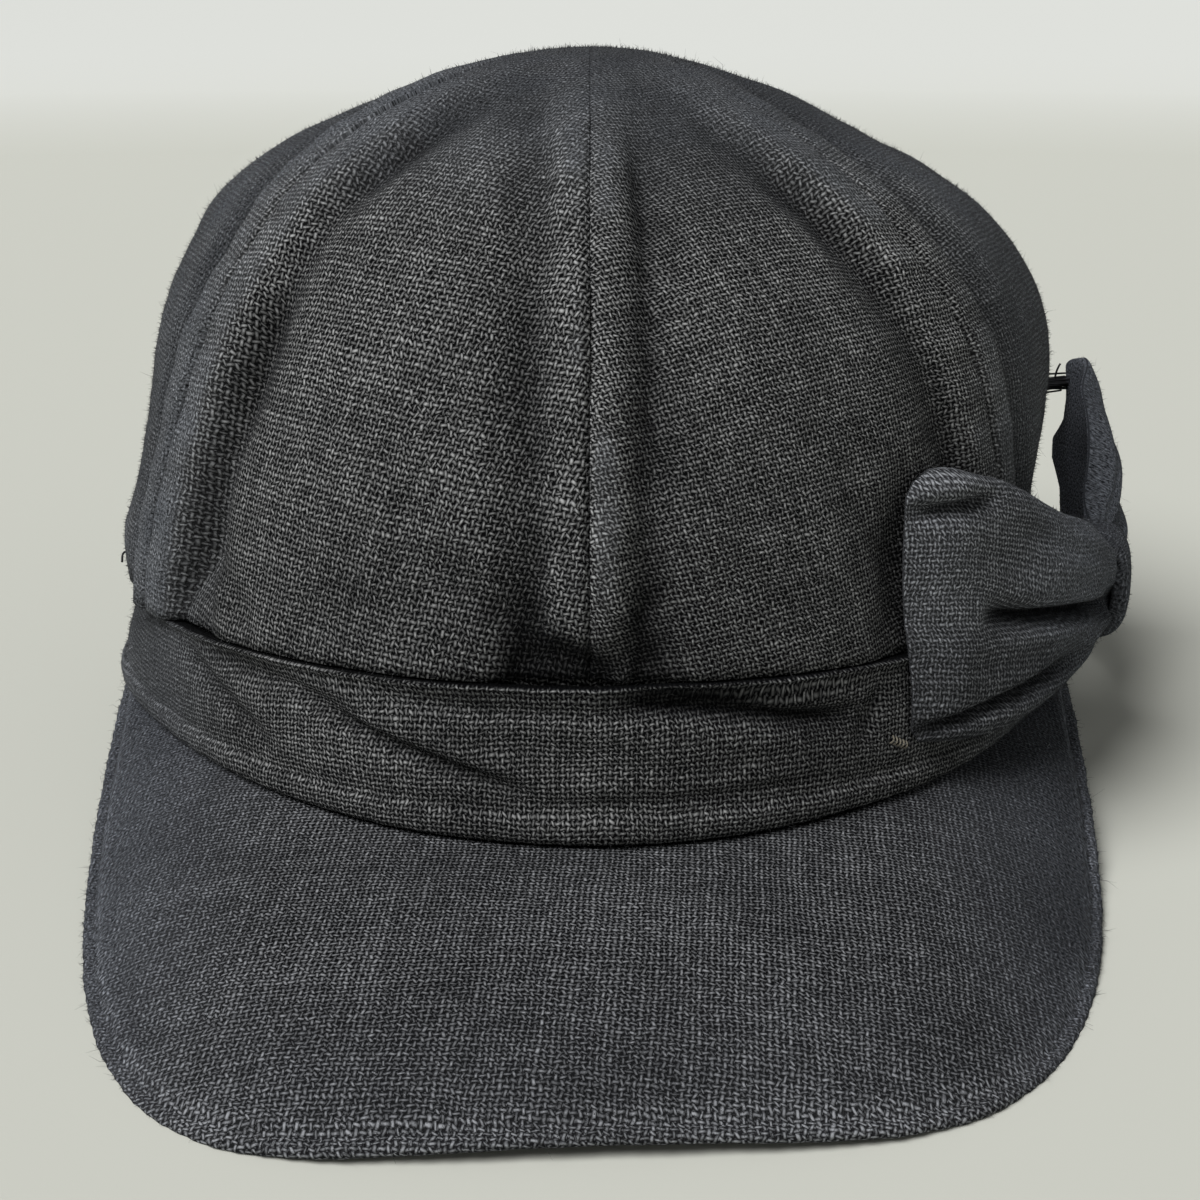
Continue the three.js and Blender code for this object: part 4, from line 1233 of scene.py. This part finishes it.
def thread_tubes(paths, radius):
    """Round threads along smooth paths: a ring of points across each step of each path."""
    heading = unit(np.gradient(paths, axis=1))
    points = paths[:, :, None] + radius * ring_round(heading, [0.31, 0.48, 0.82], THREAD_SIDES)
    return points, tube_faces(paths.shape[1], THREAD_SIDES, len(paths))


def fibre_material(name, dark, light, roughness=0.75, scale=900.0):
    """Dull thread or fibre, whose colour goes from dark to light by fine noise."""
    material, tree, shader = new_material(name)
    place = add_node(tree, "ShaderNodeTexCoord").outputs["Object"]
    tone = noise(tree, place, scale, 2.0, dimensions="3D").outputs["Fac"]
    set_inputs(shader, {
        "Roughness": roughness,
        "Specular IOR Level": 0.2,
        "Base Color": blend(tree, tone, dark, light),
    })
    return material


chance = np.random.default_rng(4)
run = np.linspace(0, 1, 9)[None, :, None]
tack_end = free_end_row[TACK_ROW]
tack_start = cap_surface(TACK_CROWN_ANGLE, tack_end[2])
tack_way = tack_end - tack_start
spread = chance.normal(size=(TACK_THREADS, 1, 3)) * TACK_SPREAD
wave = np.sin(math.pi * run) * chance.normal(size=(TACK_THREADS, 1, 3)) * 0.3
overrun = chance.uniform(0.02, 0.08, (TACK_THREADS, 1, 1))
bundle = tack_start + tack_way * ((1 + overrun) * run - 0.04) + spread * (0.6 + 0.4 * run) + wave
stub = tack_start + tack_way * 0.8 + run * [-0.5, -1.0, 4.4] + run**2 * [1.2, 0.0, -0.4]
stray_foot = cap_surface(STRAY_ANGLE, band_top(STRAY_ANGLE) + 4.4)
stray = stray_foot + run * [-2.0, -0.6, -1.6] + np.sin(4 * run) * [-0.5, 0.0, 0.4]
black_thread = fibre_material("black_thread", (0.008, 0.008, 0.0088), (0.032, 0.032, 0.0352))
tacks = thread_tubes(np.concatenate([bundle, stub, stray]), TACK_RADIUS)
put_cloth("bow_tack_threads", *tacks, black_thread)
run = run[..., 0]
stitch_angle = math.radians(32.4) + np.linspace(-0.016, 0.016, CORNER_STITCHES)[:, None] + 0.006 * run
stitch_rise = np.linspace(0.44, 0.37, CORNER_STITCHES)[:, None] + 0.05 * (run - 0.5)
stitch_height = band_foot(stitch_angle) + (band_top(stitch_angle) - band_foot(stitch_angle)) * stitch_rise
stitches = on_oval(stitch_angle, 0.35 + 0.5 * np.sin(math.pi * run), stitch_height)
brown_thread = fibre_material("brown_thread", (0.064, 0.058, 0.046), (0.256, 0.232, 0.184))
put_cloth("bow_corner_stitches", *thread_tubes(stitches, STITCH_RADIUS), brown_thread)


# Loose fibres: short hairs of flax that stand out of the worn linen all over, as thin curved needles, and
# a close fuzz between them. They show against the light along every outline.
FIBRE_RADIUS = 0.028
FIBRES_PER_CM2 = 7.5
FUZZ_RADIUS = 0.06
FUZZ_PER_CM2 = 92.0
PEAK_RIM_FIBRES = 1300
PEAK_RIM_FUZZ = 3500


def fibre_roots(field, per_cm2, chance):
    """Random points on a grid surface with its direction out: cells drawn by their area, and a random
    place in each."""
    a, b, c = field[:-1, :-1], field[1:, :-1], field[:-1, 1:]
    normal = np.cross(b - a, c - a).reshape(-1, 3)
    area = np.linalg.norm(normal, axis=-1)
    count = int(area.sum() / 100 * per_cm2)
    cell = chance.choice(area.size, count, p=area / area.sum())
    s, t = chance.uniform(0, 1, (2, count, 1))
    root = a.reshape(-1, 3)[cell] + s * (b - a).reshape(-1, 3)[cell] + t * (c - a).reshape(-1, 3)[cell]
    return root, normal[cell] / (area[cell, None] + 1e-12)


def scattered(fields, per_cm2, chance):
    """The roots on several surfaces, and their directions."""
    roots, normals = zip(*(fibre_roots(field, per_cm2, chance) for field in fields))
    return np.concatenate(roots), np.concatenate(normals)


def fibre_needles(root, normal, length, chance):
    """Three-sided needles of two segments: each leaves its root along the normal and a random side, and
    bends over by a random third direction."""
    count = len(root)
    side = chance.normal(size=(count, 3))
    side = unit(side - normal * np.sum(side * normal, axis=-1, keepdims=True))
    lift = chance.uniform(0.15, 1.0, (count, 1))
    curl = chance.normal(size=(count, 3)) * 0.35
    middle = root + length * (0.5 * side * (1 - lift / 2) + 0.45 * lift * normal)
    tip = root + length * (side * (1 - lift / 2) + 0.65 * lift * normal + curl)
    tip -= normal * np.minimum(0, np.sum((tip - root) * normal, axis=-1, keepdims=True) - 0.1)
    path = np.stack([root - 0.15 * normal, middle, tip], 1)
    ring = ring_round(unit(tip - root), normal + 0.3 * side, 3)
    thin = np.array([1.0, 0.8, 0.25])[:, None, None] * FIBRE_RADIUS
    return path[:, :, None] + ring[:, None] * thin, tube_faces(3, 3, count)


def fuzz_points(root, normal, length, chance):
    """Tiny three-sided points: a base ring on the cloth and a tip above it, leaning a little at random."""
    count = len(root)
    ring = ring_round(normal, chance.normal(size=(count, 3)), 3)
    base = (root - 0.1 * normal)[:, None] + FUZZ_RADIUS * ring
    tip = root + length * (normal + 0.45 * chance.normal(size=(count, 3)))
    points = np.concatenate([base, tip[:, None]], axis=1)
    return points, repeated(np.array([[0, 1, 3], [1, 2, 3], [2, 0, 3], [2, 1, 0]]), 4, count)


flax = fibre_material("flax_fibres", (0.006, 0.006, 0.007), (0.075, 0.076, 0.08), roughness=0.8, scale=400.0)
chance = np.random.default_rng(2)
centre = np.array([0.0, 0.0, 30.0])
groups = {
    "crown_right": fibre_fields[:4],
    "crown_left": fibre_fields[4:8],
    "band_and_bow": fibre_fields[8:9] + fibre_fields[10:],
    "peak": fibre_fields[9:10],
}
kinds = (("fibres", FIBRES_PER_CM2, PEAK_RIM_FIBRES), ("fuzz", FUZZ_PER_CM2, PEAK_RIM_FUZZ))
for name, fields in groups.items():
    for kind, per_cm2, rim_count in kinds:
        root, normal = scattered(fields, per_cm2, chance)
        if name == "peak":
            rim = chance.integers(0, PEAK_COLUMNS, rim_count)
            root = np.concatenate([root, fields[0][rim, -chance.integers(1, 9, rim_count)]])
            rim_normal = unit(rim_out[rim] + chance.normal(size=(rim_count, 3)) * 0.25)
            normal = np.concatenate([normal * np.sign(normal[:, 2:3] + 1e-9), rim_normal])
        else:
            normal = turned_out(normal, root, centre)
        if kind == "fibres":
            length = np.minimum(chance.gamma(1.7, 0.4, (len(root), 1)) + 0.4, 3.2)
            points, faces = fibre_needles(root, normal, length, chance)
        else:
            length = chance.uniform(0.12, 0.6, (len(root), 1))
            points, faces = fuzz_points(root, normal, length, chance)
        put_cloth(name + "_loose_" + kind, points, faces, flax)


# Lint: a few pale specks of fluff that cling to the crown, the band and the peak.
LINT_PER_CM2 = 0.13
pale_lint = fibre_material("pale_lint", (0.16, 0.164, 0.168), (0.64, 0.656, 0.672))
root, normal = scattered(fibre_fields[:10], LINT_PER_CM2, chance)
normal = turned_out(normal, root, centre)
length = chance.uniform(0.4, 1.5, (len(root), 1)) * 0.7
points, faces = fibre_needles(root + 0.1 * normal, normal, length, chance)
put_cloth("lint_specks", points, faces, pale_lint)
